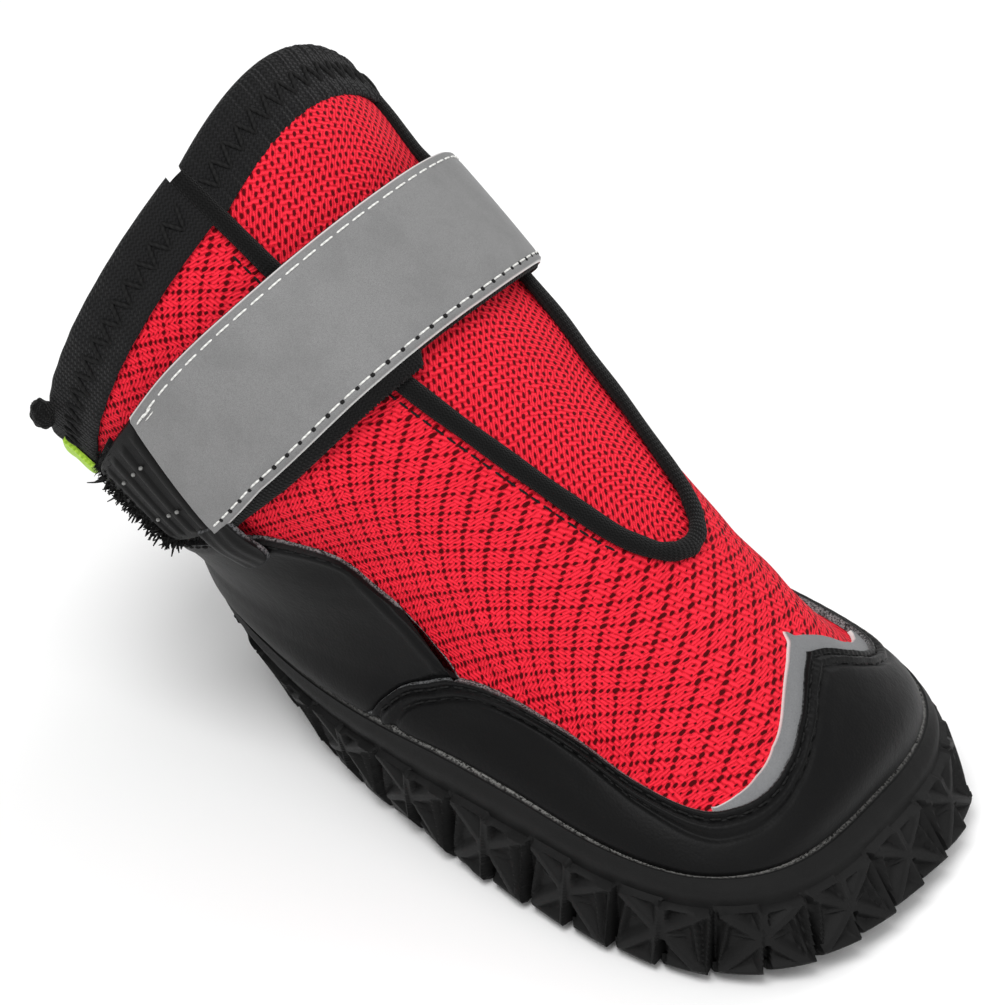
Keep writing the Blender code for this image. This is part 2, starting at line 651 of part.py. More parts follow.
def build_back_tab():
    """Bar-tacked end of the collar's binding: a small round knob on the band."""
    rings = 7
    columns = 10
    seat = ON_UPPER + KNIT_THICKNESS + CLEARANCE
    middle = raised(np.radians(KNOB_TURN), QUARTER_RIM, np.float64(seat + KNOB_RADIUS))
    tilt = np.linspace(0, np.pi, rings)[1:-1, None]
    turn = np.linspace(0, 2 * np.pi, columns, endpoint=False)[None, :]
    body = np.stack(
        [np.sin(tilt) * np.cos(turn), np.sin(tilt) * np.sin(turn), np.cos(tilt) + 0 * turn], -1
    )
    points = np.concatenate([body.reshape(-1, 3), [[0, 0, 1], [0, 0, -1]]]) * KNOB_RADIUS + middle
    inner_rings = rings - 2
    faces = grid_faces(inner_rings, columns, 0, wrap=True)
    north = inner_rings * columns
    for j in range(columns):
        k = (j + 1) % columns
        faces.append((north, k, j))
        faces.append((north + 1, (inner_rings - 1) * columns + j, (inner_rings - 1) * columns + k))
    add_mesh("back_tab", points, faces, WEBBING)


def lug_angles():
    """Angles round the tread at which the lugs and the grooves between them start and end."""
    fine = np.linspace(0, 2 * np.pi, 1441)
    x, y = tread_outline(fine)
    run = np.concatenate([[0], np.cumsum(np.hypot(np.diff(x), np.diff(y)))])
    wanted = (np.arange(LUG_COUNT)[:, None] + np.array(LUG_PHASES)).reshape(-1) / LUG_COUNT * run[-1]
    groove = np.tile([0.0, 0.0, 1.0], LUG_COUNT)
    return np.interp(wanted, run, fine), groove


def outward(around):
    """Plan direction square to the tread's outline, pointing away from the boot."""
    step = 1e-3
    ahead_x, ahead_y = tread_outline(around + step)
    behind_x, behind_y = tread_outline(around - step)
    out = np.stack([behind_y - ahead_y, ahead_x - behind_x], -1)
    x, y = tread_outline(around)
    flip = np.sign(out[..., 0] * (x - sole_middle()) + out[..., 1] * y)
    return out * (flip / np.linalg.norm(out, axis=-1))[..., None]


def sole_middle():
    return HEEL_TUCK + SOLE_LENGTH / 2


def floor_height(x):
    """Height of the hollow's floor, which follows the spring of heel and toe."""
    return SOLE_FLOOR + FLOOR_FOLLOW * ground(np.maximum(x, HEEL_TUCK))


def cup_outline(around, share, inset=0.0):
    """Outline of the hollow's floor: inside both the seat line and the sole's slanted wall."""
    seat_x, seat_y, seat_z = seat_outline(around, -CUP_WALL - inset)
    foot_x, foot_y = tread_outline(around)
    rim_x, rim_y, _ = seat_outline(around)
    drop = (seat_z - floor_height(foot_x)) / (seat_z - ground(foot_x))
    out = outward(around)
    wall_x = rim_x + (foot_x - rim_x) * drop - out[..., 0] * (CUP_WALL + inset)
    wall_y = rim_y + (foot_y - rim_y) * drop - out[..., 1] * (CUP_WALL + inset)
    middle = sole_middle()
    excess = np.hypot(wall_x - middle, wall_y) - np.hypot(seat_x - middle, seat_y)
    seat_share = 0.5 + 0.5 * np.tanh(excess / CUP_WALL)
    x = wall_x + (seat_x - wall_x) * seat_share
    y = wall_y + (seat_y - wall_y) * seat_share
    return middle + (x - middle) * share, y * share


def closed_rings(name, rings, first_middle, last_middle, recipe):
    """A solid of rings, closed at both ends by a fan of triangles to a middle point."""
    rings = np.array(rings)
    count, columns = rings.shape[:2]
    faces = grid_faces(count, columns, 0, wrap=True)
    top = count * columns
    for j in range(columns):
        k = (j + 1) % columns
        faces.append((top, k, j))
        faces.append((top + 1, (count - 1) * columns + j, (count - 1) * columns + k))
    points = np.concatenate([rings.reshape(-1, 3), [first_middle, last_middle]])
    return add_mesh(name, points, faces, recipe)


def build_outsole():
    """Rubber cup sole: hollow for the insole, lip, rim band, a step out to the lugs, tread."""
    around, groove = lug_angles()
    folded = np.where(around > np.pi, around - 2 * np.pi, around)
    rings = []
    for share in FLOOR_RINGS:
        x, y = cup_outline(around, share)
        rings.append(np.stack([x, y, floor_height(x)], -1))
    for outset in (-CUP_WALL, CLEARANCE):
        x, y, z = seat_outline(around, outset)
        rings.append(np.stack([x, y, z - CLEARANCE], -1))
    lip_inner = raised(folded, lip_top(folded), np.full(folded.shape, CLEARANCE))
    lip_outer = raised(folded, lip_top(folded), np.full(folded.shape, CLEARANCE + RIM_WIDTH))
    rings.append(lip_inner)
    foot_x, foot_y = tread_outline(around)
    heel_side = np.clip(-np.cos(folded), 0, 1) ** 0.5
    foot = np.stack([foot_x, foot_y, ground(foot_x) + TREAD_BEVEL + HEEL_BEVEL * heel_side], -1)
    out = outward(around)
    # Each row: share of the way down the wall, share of the lugs' step that it stands out, and
    # share of the groove's cut
    wall_rows = (
        (0.00, 0.00, 0.0),
        (0.20, 0.54, 0.0),
        (0.38, 0.15, 0.0),
        (0.44, 1.00, 0.7),
        (1.00, 0.30, 1.0),
    )
    for down, proud, cut in wall_rows:
        row = lip_outer + (foot - lip_outer) * down
        row[:, :2] += out * (proud * LUG_STEP - cut * groove * LUG_RELIEF)[:, None]
        rings.append(row)
    # Each row: share of the outline, and share of the groove's cut between the lugs and on them
    tread_rows = (
        (0.90, 1.0, 0.0),
        (0.70, 1.0, 0.0),
        (0.67, 1.0, 1.0),
        (0.55, 1.0, 1.0),
        (0.52, 0.0, 0.0),
    )
    for share, in_groove, on_lug in tread_rows:
        x, y = tread_outline(around, share)
        cut = np.maximum(groove * in_groove, on_lug)
        rings.append(np.stack([x, y, ground(x) + cut * LUG_RELIEF], -1))
    middle = sole_middle()
    closed_rings(
        "outsole",
        rings,
        (middle, 0, floor_height(middle)),
        (middle, 0, ground(middle)),
        RUBBER,
    )


def build_insole():
    """Foam board that lies on the floor of the cup."""
    around = even_columns(0.0, 352.8, 7.2)
    rings = []
    bottom_lift = CLEARANCE
    top_lift = CLEARANCE + INSOLE_THICKNESS
    for lift, shares in ((bottom_lift, FLOOR_RINGS), (top_lift, FLOOR_RINGS[::-1])):
        for share in shares:
            x, y = cup_outline(around, share, inset=INSOLE_PLAY)
            rings.append(np.stack([x, y, floor_height(x) + lift], -1))
    middle = sole_middle()
    floor = floor_height(middle)
    closed_rings(
        "insole", rings, (middle, 0, floor + bottom_lift), (middle, 0, floor + top_lift), FOAM
    )


def set_down():
    """Moves every piece alike, so that the origin is on the floor under the middle of the box."""
    meshes = [thing.data for thing in bpy.context.scene.objects]
    points = np.concatenate([[vertex.co for vertex in mesh.vertices] for mesh in meshes])
    low = points.min(axis=0)
    high = points.max(axis=0)
    shift = np.array([-(low[0] + high[0]) / 2, -(low[1] + high[1]) / 2, -low[2]])
    for mesh in meshes:
        for vertex in mesh.vertices:
            vertex.co = np.array(vertex.co) + shift


def main():
    clear_scene()
    build_outsole()
    build_insole()
    build_upper()
    build_tongue()
    build_heel_counter()
    build_toe_cap()
    build_toe_trim()
    build_throat_binding()
    build_collar_bands()
    build_strap()
    build_strap_tip()
    build_loop_patch()
    build_back_tag()
    build_back_tab()
    set_down()


main()
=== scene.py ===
"""The dog boot as it looks: fabrics, leatherette, rubber, stitching, light and camera.

Every surface is a patch of one last, last_point(around, along), the same as the CAD part's.
"around" is the angle in degrees from the front, positive to the boot's right, "along" runs
from 0 at the seat line to 1 at the collar, and "height" is in millimetres above the mesh.
Lengths are in millimetres here, and each piece is scaled to metres as it is made.
"""

import math

import bpy
import numpy as np
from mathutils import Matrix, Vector


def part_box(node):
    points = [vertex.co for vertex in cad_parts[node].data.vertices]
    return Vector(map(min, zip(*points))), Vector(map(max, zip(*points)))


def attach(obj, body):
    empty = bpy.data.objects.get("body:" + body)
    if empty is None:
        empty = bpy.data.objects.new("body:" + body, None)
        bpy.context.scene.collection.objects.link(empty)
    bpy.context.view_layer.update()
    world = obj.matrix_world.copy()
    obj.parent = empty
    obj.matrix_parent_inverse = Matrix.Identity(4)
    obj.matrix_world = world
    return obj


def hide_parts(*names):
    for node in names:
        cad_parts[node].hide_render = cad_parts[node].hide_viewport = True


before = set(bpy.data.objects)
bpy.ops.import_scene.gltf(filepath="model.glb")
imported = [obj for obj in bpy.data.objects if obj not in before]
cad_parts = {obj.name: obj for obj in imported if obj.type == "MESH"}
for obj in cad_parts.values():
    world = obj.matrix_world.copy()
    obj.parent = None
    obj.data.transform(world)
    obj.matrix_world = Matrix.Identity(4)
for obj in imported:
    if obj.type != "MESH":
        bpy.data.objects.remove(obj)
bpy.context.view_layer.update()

MM = 0.001
FOOT_LENGTH = 107.0
BALL_WIDTH = 62.0
SEAT_HEIGHT = 14.0
UPPER_HEIGHT = 85.0
SOLE_LENGTH = FOOT_LENGTH + 1.0
SOLE_WIDTH = BALL_WIDTH + 5.0
HEEL_TUCK = 8.5
HEEL_SPRING = 7.5
HEEL_SPRING_RUN = 23.0
TOE_SPRING = 2.5
TOE_SPRING_RUN = 25.0
ARCH_HEIGHT = 0.8
TREAD_BEVEL = 1.4
HEEL_BEVEL = 2.4
LUG_COUNT = 38
LUG_SHARE = 0.83  # of the pitch that each lug takes, the rest is groove
QUARTER_RIM = 0.990
STRAP_SEAT = 1.9  # height of the strap's webbing over the mesh
STRAP_NEAR_END = 97.0  # degrees, the cut end of the grey tape at its lower edge
END_SLANT = 9.0  # degrees by which that end starts earlier at its upper edge
SLANT_START = 50.0
TIP_END = 124.0
CAP_TURN = 10.0  # the toe guard's peak is sewn this many degrees round to the left
CAP_LEAN = 8
KNOB_TURN = 110.0
ARM_END = 40.0  # degrees at which the throat's arm reaches the collar
UPPER_WALL = 2.0
TAPE_WIDTH = 20.0
BACK_ROWS = 6  # rows of points on a sheet's hidden back
EDGE_ROLL = 0.92  # share of a sheet's thickness by which its edges roll down
BEHIND_LIP = 0.5  # how far the leatherette reaches behind the sole's lip
LEATHER_BACK = 0.05  # height of the leatherette's back over the mesh
LEATHER_FACE = 1.3
CAP_ROWS = (1.35, 3.2)  # distances of the toe guard's stitches from its edge
COUNTER_ROW = 1.4
LOOP_BASE = 0.35  # from the heel counter's edge up to the loop fastener
LOOP_BELOW_RIM = 8.1
LOOP_TOP = 0.89
LUG_POINTS = 24  # columns of points over one lug
STAR_DEPTH = 0.45  # how far down a lug's side its ribs meet
PIT_DEPTH = 1.1
GROOVE_CUT = 1.8
HOLE_POWER = 1.6  # 1 gives diamond holes in the mesh and 2 round ones
SMALLEST_HOLE = 0.12
PLY_PITCHES = (0.82, 0.74)
FULL_TURN = 2 * math.pi
CAMERA_LENS = 167.8
CAMERA_SHIFT = (0.077, -0.023)
CAMERA_TURN = 55.9  # degrees from the boot's front toward its right
CAMERA_LIFT = 34.3
CAMERA_TARGET = (33.8, 0.0, 40.0)
CAMERA_DISTANCE = 0.668

# Sections of the last, from the seat line to the collar, as shares of the sizes above
LAST_COLUMNS = (
    "front_reach", "front_rise", "back_reach", "back_rise",
    "half_width", "taper", "front_square", "back_square",
)
LAST_SECTIONS = np.array([
    (1.000, 0.000, 0.000, 0.000, 0.408, 0.48, 3.20, 2.40),
    (0.994, 0.075, -0.004, 0.036, 0.425, 0.24, 2.70, 2.20),
    (0.913, 0.180, -0.019, 0.073, 0.385, 0.07, 2.45, 2.10),
    (0.776, 0.318, -0.028, 0.098, 0.375, 0.02, 2.30, 2.10),
    (0.612, 0.474, -0.034, 0.122, 0.410, -0.02, 2.20, 2.00),
    (0.430, 0.638, -0.047, 0.153, 0.480, -0.01, 2.10, 2.00),
    (0.252, 0.803, -0.088, 0.206, 0.514, 0.00, 2.00, 2.00),
    (0.069, 1.000, -0.140, 0.259, 0.530, -0.10, 1.90, 2.00),
])

# "along", then the angle of the throat's arm
THROAT_ARM = np.array([
    (0.476, 0.0), (0.481, 7.0), (0.495, 13.0), (0.525, 19.0), (0.590, 24.5),
    (0.660, 28.0), (0.740, 31.0), (0.880, 35.0), (0.990, 40.0),
])
# The rest read: degrees from the front, then "along"
LIP_EDGE = np.array([
    (0.0, 0.012), (45.0, 0.014), (60.0, 0.040), (74.0, 0.090), (90.0, 0.115),
    (108.0, 0.100), (130.0, 0.060), (180.0, 0.045),
])
CAP_EDGE = np.array([
    (0.0, 0.322), (10.0, 0.304), (23.0, 0.262), (32.0, 0.222), (38.0, 0.194),
    (44.0, 0.176), (51.0, 0.172), (60.0, 0.215), (68.0, 0.283), (75.0, 0.328),
    (81.0, 0.333), (86.0, 0.309), (93.0, 0.262), (99.0, 0.190), (104.0, 0.090),
])
TRIM_EDGE = np.array([
    (0.0, 0.346), (9.0, 0.330), (20.0, 0.302), (32.0, 0.251), (39.0, 0.217), (44.0, 0.194), (48.0, 0.177),
])
COUNTER_EDGE = np.array([
    (78.0, 0.480), (81.0, 0.570), (86.0, 0.612), (92.0, 0.645), (105.0, 0.665), (180.0, 0.670),
])
STRAP_EDGES = np.array([
    (-118.0, 0.690, 0.872), (-60.0, 0.728, 0.870), (0.0, 0.746, 0.872),
    (40.0, 0.742, 0.876), (75.0, 0.716, 0.882), (97.0, 0.685, 0.880),
])

rng = np.random.default_rng(11)


# The last


def smooth_rows(table, position):
    """Rows of a table at fractional row numbers, on a Catmull-Rom curve through its rows."""
    last = len(table) - 1
    row = np.clip(np.floor(position).astype(int), 0, last - 1)
    f = (position - row)[..., None]
    padded = np.vstack([2 * table[0] - table[1], table, 2 * table[-1] - table[-2]])
    a, b, c, d = padded[row], padded[row + 1], padded[row + 2], padded[row + 3]
    return 0.5 * (2 * b + (c - a) * f + (2 * a - 5 * b + 4 * c - d) * f**2 + (3 * b - a - 3 * c + d) * f**3)


def smooth_edge(table, value, column=1):
    position = np.interp(value, table[:, 0], np.arange(len(table)))
    return smooth_rows(table, np.asarray(position, float))[..., column]


def egg(angle, front_square, back_square, taper):
    """Superellipse in polar form, its width growing toward the front."""
    c = np.cos(angle)
    s = np.sin(angle)
    power = np.where(c > 0, front_square, back_square)
    radius = (np.abs(c) ** power + np.abs(s) ** power) ** (-1 / power)
    lengthwise = radius * c
    return lengthwise, radius * s * (1 + taper * lengthwise)


def last_point(around, along):
    """Section of the last at "along": its middle-plane ends, and an egg outline between them."""
    around, along = np.broadcast_arrays(np.asarray(around, float), np.asarray(along, float))
    row = smooth_rows(LAST_SECTIONS, np.clip(along, -0.05, 1.08) * (len(LAST_SECTIONS) - 1))
    value = {name: row[..., i] for i, name in enumerate(LAST_COLUMNS)}
    shape = (value["front_square"], value["back_square"], value["taper"])
    lengthwise, sideways = egg(np.radians(around), *shape)
    share = (1 + lengthwise) / 2
    reach = value["back_reach"] + (value["front_reach"] - value["back_reach"]) * share
    rise = value["back_rise"] + (value["front_rise"] - value["back_rise"]) * share
    x = FOOT_LENGTH * reach
    y = -BALL_WIDTH * value["half_width"] * sideways
    return np.stack([x, y, SEAT_HEIGHT + UPPER_HEIGHT * rise], -1)


def slopes(around, along, step=1e-3):
    """Movement of the point for one radian of "around" and for one unit of "along"."""
    turn = np.degrees(step)
    across = last_point(around + turn, along) - last_point(around - turn, along)
    up = last_point(around, along + step) - last_point(around, along - step)
    return across / (2 * step), up / (2 * step)


def normal_at(around, along):
    across, up = slopes(around, along)
    normal = np.cross(up, across)
    return normal / np.linalg.norm(normal, axis=-1, keepdims=True)


def on_last(around, along, height=0.0):
    """The last's point moved out along its normal by a height."""
    around, along, height = np.broadcast_arrays(
        np.asarray(around, float), np.asarray(along, float), np.asarray(height, float)
    )
    return last_point(around, along) + normal_at(around, along) * height[..., None]


def along_of(length, around, along):
    return length / np.linalg.norm(slopes(around, along)[1], axis=-1)


def around_of(length, around, along):
    """A length in millimetres round the last, in degrees."""
    return np.degrees(length / np.linalg.norm(slopes(around, along)[0], axis=-1))


def fold(around):
    """Degrees from the front on either side, 0 to 180."""
    return np.abs((np.asarray(around, float) + 180) % 360 - 180)


def throat_angle(along):
    return smooth_edge(THROAT_ARM, along)


def cap_angle(around):
    front = np.maximum(np.cos(np.radians(around)), 0)
    return np.abs(around + CAP_TURN * np.where(np.asarray(around) < 0, front**CAP_LEAN, front))


def cap_top(around):
    return smooth_edge(CAP_EDGE, cap_angle(around))


def lip_top(around):
    return smooth_edge(LIP_EDGE, fold(around))


def counter_top(around):
    return smooth_edge(COUNTER_EDGE, fold(around))


def tongue_top(around):
    return 1.0 - 0.014 * (around / throat_angle(QUARTER_RIM)) ** 2


def strap_low(around):
    return smooth_edge(STRAP_EDGES, around, 1)


def strap_high(around):
    return smooth_edge(STRAP_EDGES, around, 2)


def bump(value, middle, half_width):
    """A soft hump of height 1 at the middle that fades out at the half width."""
    return np.exp(-(((value - middle) / half_width) ** 2))


def step_up(value, start, end):
    """0 before the start, 1 after the end, smooth between."""
    t = np.clip((value - start) / (end - start), 0, 1)
    return t * t * (3 - 2 * t)


def creases(around, along):
    """The cloth's form, in mm: where the strap presses, where the vamp bends, slack."""
    side = fold(around)
    under = np.clip(around, STRAP_EDGES[0, 0], STRAP_NEAR_END)
    strap_middle = (strap_low(under) + strap_high(under)) / 2
    front = 1 - step_up(side, 95, 125)
    dent = -0.55 * bump(along, strap_middle, 0.10) * front
    above = 0.5 * bump(along, strap_middle + 0.125, 0.028) * front
    above = above * (0.7 + 0.3 * np.cos(np.radians(3 * around)))
    below = 0.45 * bump(along, strap_middle - 0.12, 0.03) * front
    below = below * (0.6 + 0.4 * np.cos(np.radians(4 * around + 40)))
    flex = 0.35 * bump(along, 0.40 + 0.0009 * around, 0.022) * bump(side, 52, 22)
    flex = flex - 0.45 * bump(along, 0.445 + 0.0006 * around, 0.02) * bump(side, 60, 24)
    ankle = -0.6 * bump(along, 0.56, 0.045) * bump(side, 82, 14)
    ankle = ankle + 0.4 * bump(along, 0.50, 0.03) * bump(side, 70, 12)
    slack = 0.16 * np.sin(np.radians(7 * around + 500 * along)) * np.sin(9.0 * along + 1.0)
    seam = -0.3 * bump(along, cap_top(around) + 0.03, 0.02) * (1 - step_up(side, 90, 104))
    settle = step_up(along, 0.02, 0.12) * (1 - step_up(along, 0.93, 0.985))
    return (dent + above + below + flex + ankle + slack + seam) * settle


def skin(around, along, height=0.0):
    """The cloth's outer face with its creases."""
    return on_last(around, along, np.asarray(height) + creases(around, along))


# Meshes


def distances(position, axis=0):
    """Distance from a path's start to each point, or over a grid from its first row or column."""
    steps = np.linalg.norm(np.diff(position, axis=axis), axis=-1)
    return np.insert(np.cumsum(steps, axis=axis), 0, 0.0, axis=axis)


def at_distance(where, travel, vectors):
    """A path's vectors at given distances from its start."""
    return np.stack([np.interp(where, travel, vectors[:, a]) for a in range(3)], -1)


def faces_inward(points, quad, outward):
    """Whether a quad looks against the direction that it should."""
    facing = np.cross(points[quad[1]] - points[quad[0]], points[quad[2]] - points[quad[1]])
    return np.dot(facing, outward) < 0


def patch(around, low, high, rows):
    """Grids of "around" and "along" between two edges, and each row's share of the way up."""
    share = np.linspace(0, 1, rows)[:, None]
    along = low + (high - low) * share
    return np.broadcast_to(around, along.shape), along, share


def make(name, points, faces, material, stands_for, uv, values=None, smooth_angle=60):
    """A mesh piece in metres, with a "weave" map in mm and optional numbers at its points."""
    points = np.asarray(points, float).reshape(-1, 3) * MM + SHIFT
    counts = np.array([len(face) for face in faces])
    flat = np.concatenate([np.asarray(face) for face in faces])
    mesh = bpy.data.meshes.new(name)
    mesh.vertices.add(len(points))
    mesh.vertices.foreach_set("co", points.reshape(-1))
    mesh.loops.add(len(flat))
    mesh.loops.foreach_set("vertex_index", flat.astype(np.int32))
    mesh.polygons.add(len(counts))
    starts = np.concatenate([[0], np.cumsum(counts)[:-1]])
    mesh.polygons.foreach_set("loop_start", starts.astype(np.int32))
    mesh.update(calc_edges=True)
    layer = mesh.uv_layers.new(name="weave")
    layer.data.foreach_set("uv", np.asarray(uv, float).reshape(-1, 2)[flat].reshape(-1))
    for key, value in (values or {}).items():
        layer = mesh.attributes.new(key, "FLOAT", "POINT")
        layer.data.foreach_set("value", np.asarray(value, float).reshape(-1))
    mesh.validate()
    mesh.shade_smooth()
    mesh.set_sharp_from_angle(angle=math.radians(smooth_angle))
    mesh.materials.append(material)
    piece = bpy.data.objects.new(name, mesh)
    bpy.context.scene.collection.objects.link(piece)
    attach(piece, "root")
    if stands_for:
        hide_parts(*stands_for)


def grid_quads(rows, columns, wrap=False):
    i = np.arange(rows - 1)[:, None]
    j = np.arange(columns if wrap else columns - 1)[None, :]
    k = (j + 1) % columns
    quads = np.stack([i * columns + j, i * columns + k, (i + 1) * columns + k, (i + 1) * columns + j], -1)
    return quads.reshape(-1, 4)


def two_layers(rows, columns, back_rows):
    """Quads of an outer grid, of the back behind it, and of the strips that join their two ends."""
    first = rows * columns
    top = first - columns
    last_row = first + (back_rows - 1) * columns
    j = np.arange(columns - 1)
    return np.concatenate([
        grid_quads(rows, columns),
        (grid_quads(back_rows, columns) + first)[:, ::-1],
        np.stack([j + 1, j, first + j, first + j + 1], -1),
        np.stack([top + j, top + j + 1, last_row + j + 1, last_row + j], -1),
    ])


def sheet_piece(name, around, along, low, high, round_mm, material, stands_for=(), form=skin):
    """A sewn sheet: outer face, edges rolled down over round_mm, and a plain back.

    "around" and "along" are grids with rows up the last, "low" is the back's height, "high" the face's."""
    rows, columns = along.shape
    high = np.broadcast_to(np.asarray(high, float), along.shape)
    low = np.broadcast_to(np.asarray(low, float), along.shape)
    position = last_point(around, along)
    from_low = distances(position, 0)
    from_left = distances(position, 1)
    across = np.minimum(from_left, from_left[:, -1:] - from_left)
    edge = np.minimum(np.minimum(from_low, from_low[-1:] - from_low), across)
    roll = 1 - np.sqrt(np.clip(1 - (1 - np.clip(edge / round_mm, 0, 1)) ** 2, 0, 1))
    outer = form(around, along, high - roll * (high - low) * EDGE_ROLL)
    pick = np.unique(np.linspace(0, rows - 1, BACK_ROWS).astype(int))
    inner = form(around[pick], along[pick], low[pick])
    points = np.concatenate([outer.reshape(-1, 3), inner.reshape(-1, 3)])
    faces = [tuple(q) for q in two_layers(rows, columns, len(pick))]
    first = rows * columns
    for edge_column in (0, columns - 1):
        rim = [i * columns + edge_column for i in range(rows)]
        rim += [first + i * columns + edge_column for i in range(len(pick) - 1, -1, -1)]
        faces.append(tuple(rim if edge_column == 0 else rim[::-1]))
    weave = np.stack([from_left, from_low], -1)
    uv = np.concatenate([weave.reshape(-1, 2), weave[pick].reshape(-1, 2)])
    marks = np.concatenate([edge.reshape(-1), np.zeros(len(pick) * columns)])
    toward = outer[rows // 2, columns // 2] - inner[len(pick) // 2, columns // 2]
    if faces_inward(points, faces[(rows // 2) * (columns - 1) + columns // 2], toward):
        faces = [f[::-1] for f in faces]
    make(name, points, faces, material, stands_for, uv, {"edge": marks})


def tubes(paths, radii, sides, squash=1.0, normals=None, caps=True):
    """Points, faces and weave map of tubes swept along paths. Each radius is a number or one a point."""
    all_points = []
    all_faces = []
    all_uv = []
    ends = []
    base = 0
    turn = np.linspace(0, 2 * np.pi, sides, endpoint=False)
    for index, path in enumerate(paths):
        path = np.asarray(path, float)
        count = len(path)
        run = np.gradient(path, axis=0)
        run /= np.linalg.norm(run, axis=1, keepdims=True) + 1e-12
        guide = np.tile((0.3, 0.2, 1.0), (count, 1)) if normals is None else normals[index]
        up = guide - run * np.einsum("ij,ij->i", run, guide)[:, None]
        up /= np.linalg.norm(up, axis=1, keepdims=True) + 1e-12
        side = np.cross(run, up)
        radius = np.broadcast_to(np.asarray(radii[index], float), (count,))[:, None, None]
        ring = path[:, None] + side[:, None] * (radius * np.cos(turn)[None, :, None])
        ring = ring + up[:, None] * (radius * squash * np.sin(turn)[None, :, None])
        all_points.append(ring.reshape(-1, 3))
        all_faces.append(grid_quads(count, sides, wrap=True)[:, ::-1] + base)
        uv = np.stack(np.broadcast_arrays(distances(path)[:, None], turn[None, :] * np.mean(radius)), -1)
        all_uv.append(uv.reshape(-1, 2))
        end = base + (count - 1) * sides
        ends += [tuple(range(base, base + sides)), tuple(range(end, end + sides))[::-1]]
        base += count * sides
    faces = [tuple(q) for q in np.concatenate(all_faces)] + (ends if caps else [])
    return np.concatenate(all_points), faces, np.concatenate(all_uv)


def threads(name, paths, radii, ups, sides, material, slot, squash=1.0, caps=True):
    """One piece made of many threads."""
    points, faces, uv = tubes(paths, radii, sides, squash, ups, caps)
    make(name, points, faces, material, (), uv)


def stitch_line(centres, normals, length, radius, gap=0.55):
    """Capsule threads laid end to end along a line: each rises from its needle hole and dips back."""
    travel = distances(centres)
    count = max(1, int(travel[-1] / (length + gap)))
    share = np.array([-0.5, -0.46, -0.36, -0.15, 0.15, 0.36, 0.46, 0.5])
    dip = np.array([-1.0, -0.45, 0.25, 0.6, 0.6, 0.25, -0.45, -1.0])
    size = np.array([0.35, 0.7, 0.95, 1.0, 1.0, 0.95, 0.7, 0.35])
    paths = []
    ups = []
    for k in range(count):
        middle = (k + 0.5) * travel[-1] / count + rng.normal(0, 0.04)
        where = np.clip(middle + share * length, 0, travel[-1])
        up = at_distance(where, travel, normals)
        up /= np.linalg.norm(up, axis=1, keepdims=True)
        paths.append(at_distance(where, travel, centres) + up * (dip * radius)[:, None])
        ups.append(up)
    return paths, [radius * size] * count, ups


# Materials


def linear(hex_colour):
    """sRGB hex to linear red, green, blue and alpha."""
    parts = np.array([int(hex_colour[i : i + 2], 16) / 255 for i in (0, 2, 4)])
    return (*np.where(parts <= 0.04045, parts / 12.92, ((parts + 0.055) / 1.055) ** 2.4), 1.0)


class Value:
    """A shader socket that sums can be written with: each adds its Math node."""

    def __init__(self, tree, socket):
        self.tree = tree
        self.socket = socket

    def does(self, operation, other=0.0):
        return add(self.tree, "Math", {"operation": operation}, {0: self, 1: other})

    def __add__(self, other):
        return self.does("ADD", other)

    def __sub__(self, other):
        return self.does("SUBTRACT", other)

    def __mul__(self, other):
        return self.does("MULTIPLY", other)

    def __truediv__(self, other):
        return self.does("DIVIDE", other)


def add(tree, kind, settings=None, inputs=None, output=0):
    """Adds a shader node and gives one output. Each input is a number, a colour or a Value."""
    made = tree.nodes.new("ShaderNode" + kind)
    for key, value in (settings or {}).items():
        setattr(made, key, value)
    for key, value in (inputs or {}).items():
        if isinstance(value, Value):
            tree.links.new(value.socket, made.inputs[key])
        else:
            made.inputs[key].default_value = value
    return Value(tree, made.outputs[output])


def mix(factor, a, b):
    """A colour between a and b."""
    tree = next(value.tree for value in (factor, a, b) if isinstance(value, Value))
    return add(tree, "Mix", {"data_type": "RGBA"}, {0: factor, 6: a, 7: b}, output=2)


def ramp(value, low, high):
    """0 at "low", 1 at "high", smooth between."""
    ends = {"Value": value, "From Min": low, "From Max": high}
    return add(value.tree, "MapRange", {"interpolation_type": "SMOOTHSTEP"}, ends)


def noise(place, per_mm, detail=3.0, roughness=0.6):
    """Noise with a feature of about 1 / per_mm millimetres."""
    inputs = {"Vector": place, "Scale": per_mm, "Detail": detail, "Roughness": roughness}
    return add(place.tree, "TexNoise", None, inputs)


def vector_sum(operation, a, b):
    second = "Scale" if operation == "SCALE" else 1
    return add(a.tree, "VectorMath", {"operation": operation}, {0: a, second: b})


def carried(place, name):
    """Numbers that the mesh carries at its points."""
    return add(place.tree, "Attribute", {"attribute_name": name}, output="Fac")


def first_two(vector):
    return [add(vector.tree, "SeparateXYZ", None, {0: vector}, output=i) for i in (0, 1)]


def new_material(name, roughness, specular, sheen=0.0):
    """A Principled material, with its position in mm and its weave map in mm."""
    material = bpy.data.materials.new(name)
    material.use_nodes = True
    tree = material.node_tree
    shader = tree.nodes["Principled BSDF"]
    shader.inputs["Roughness"].default_value = roughness
    shader.inputs["Sheen Weight"].default_value = sheen
    shader.inputs["Specular IOR Level"].default_value = specular
    place = vector_sum("SCALE", add(tree, "TexCoord", output="Object"), 1 / MM)
    return material, place, add(tree, "UVMap", {"uv_map": "weave"})


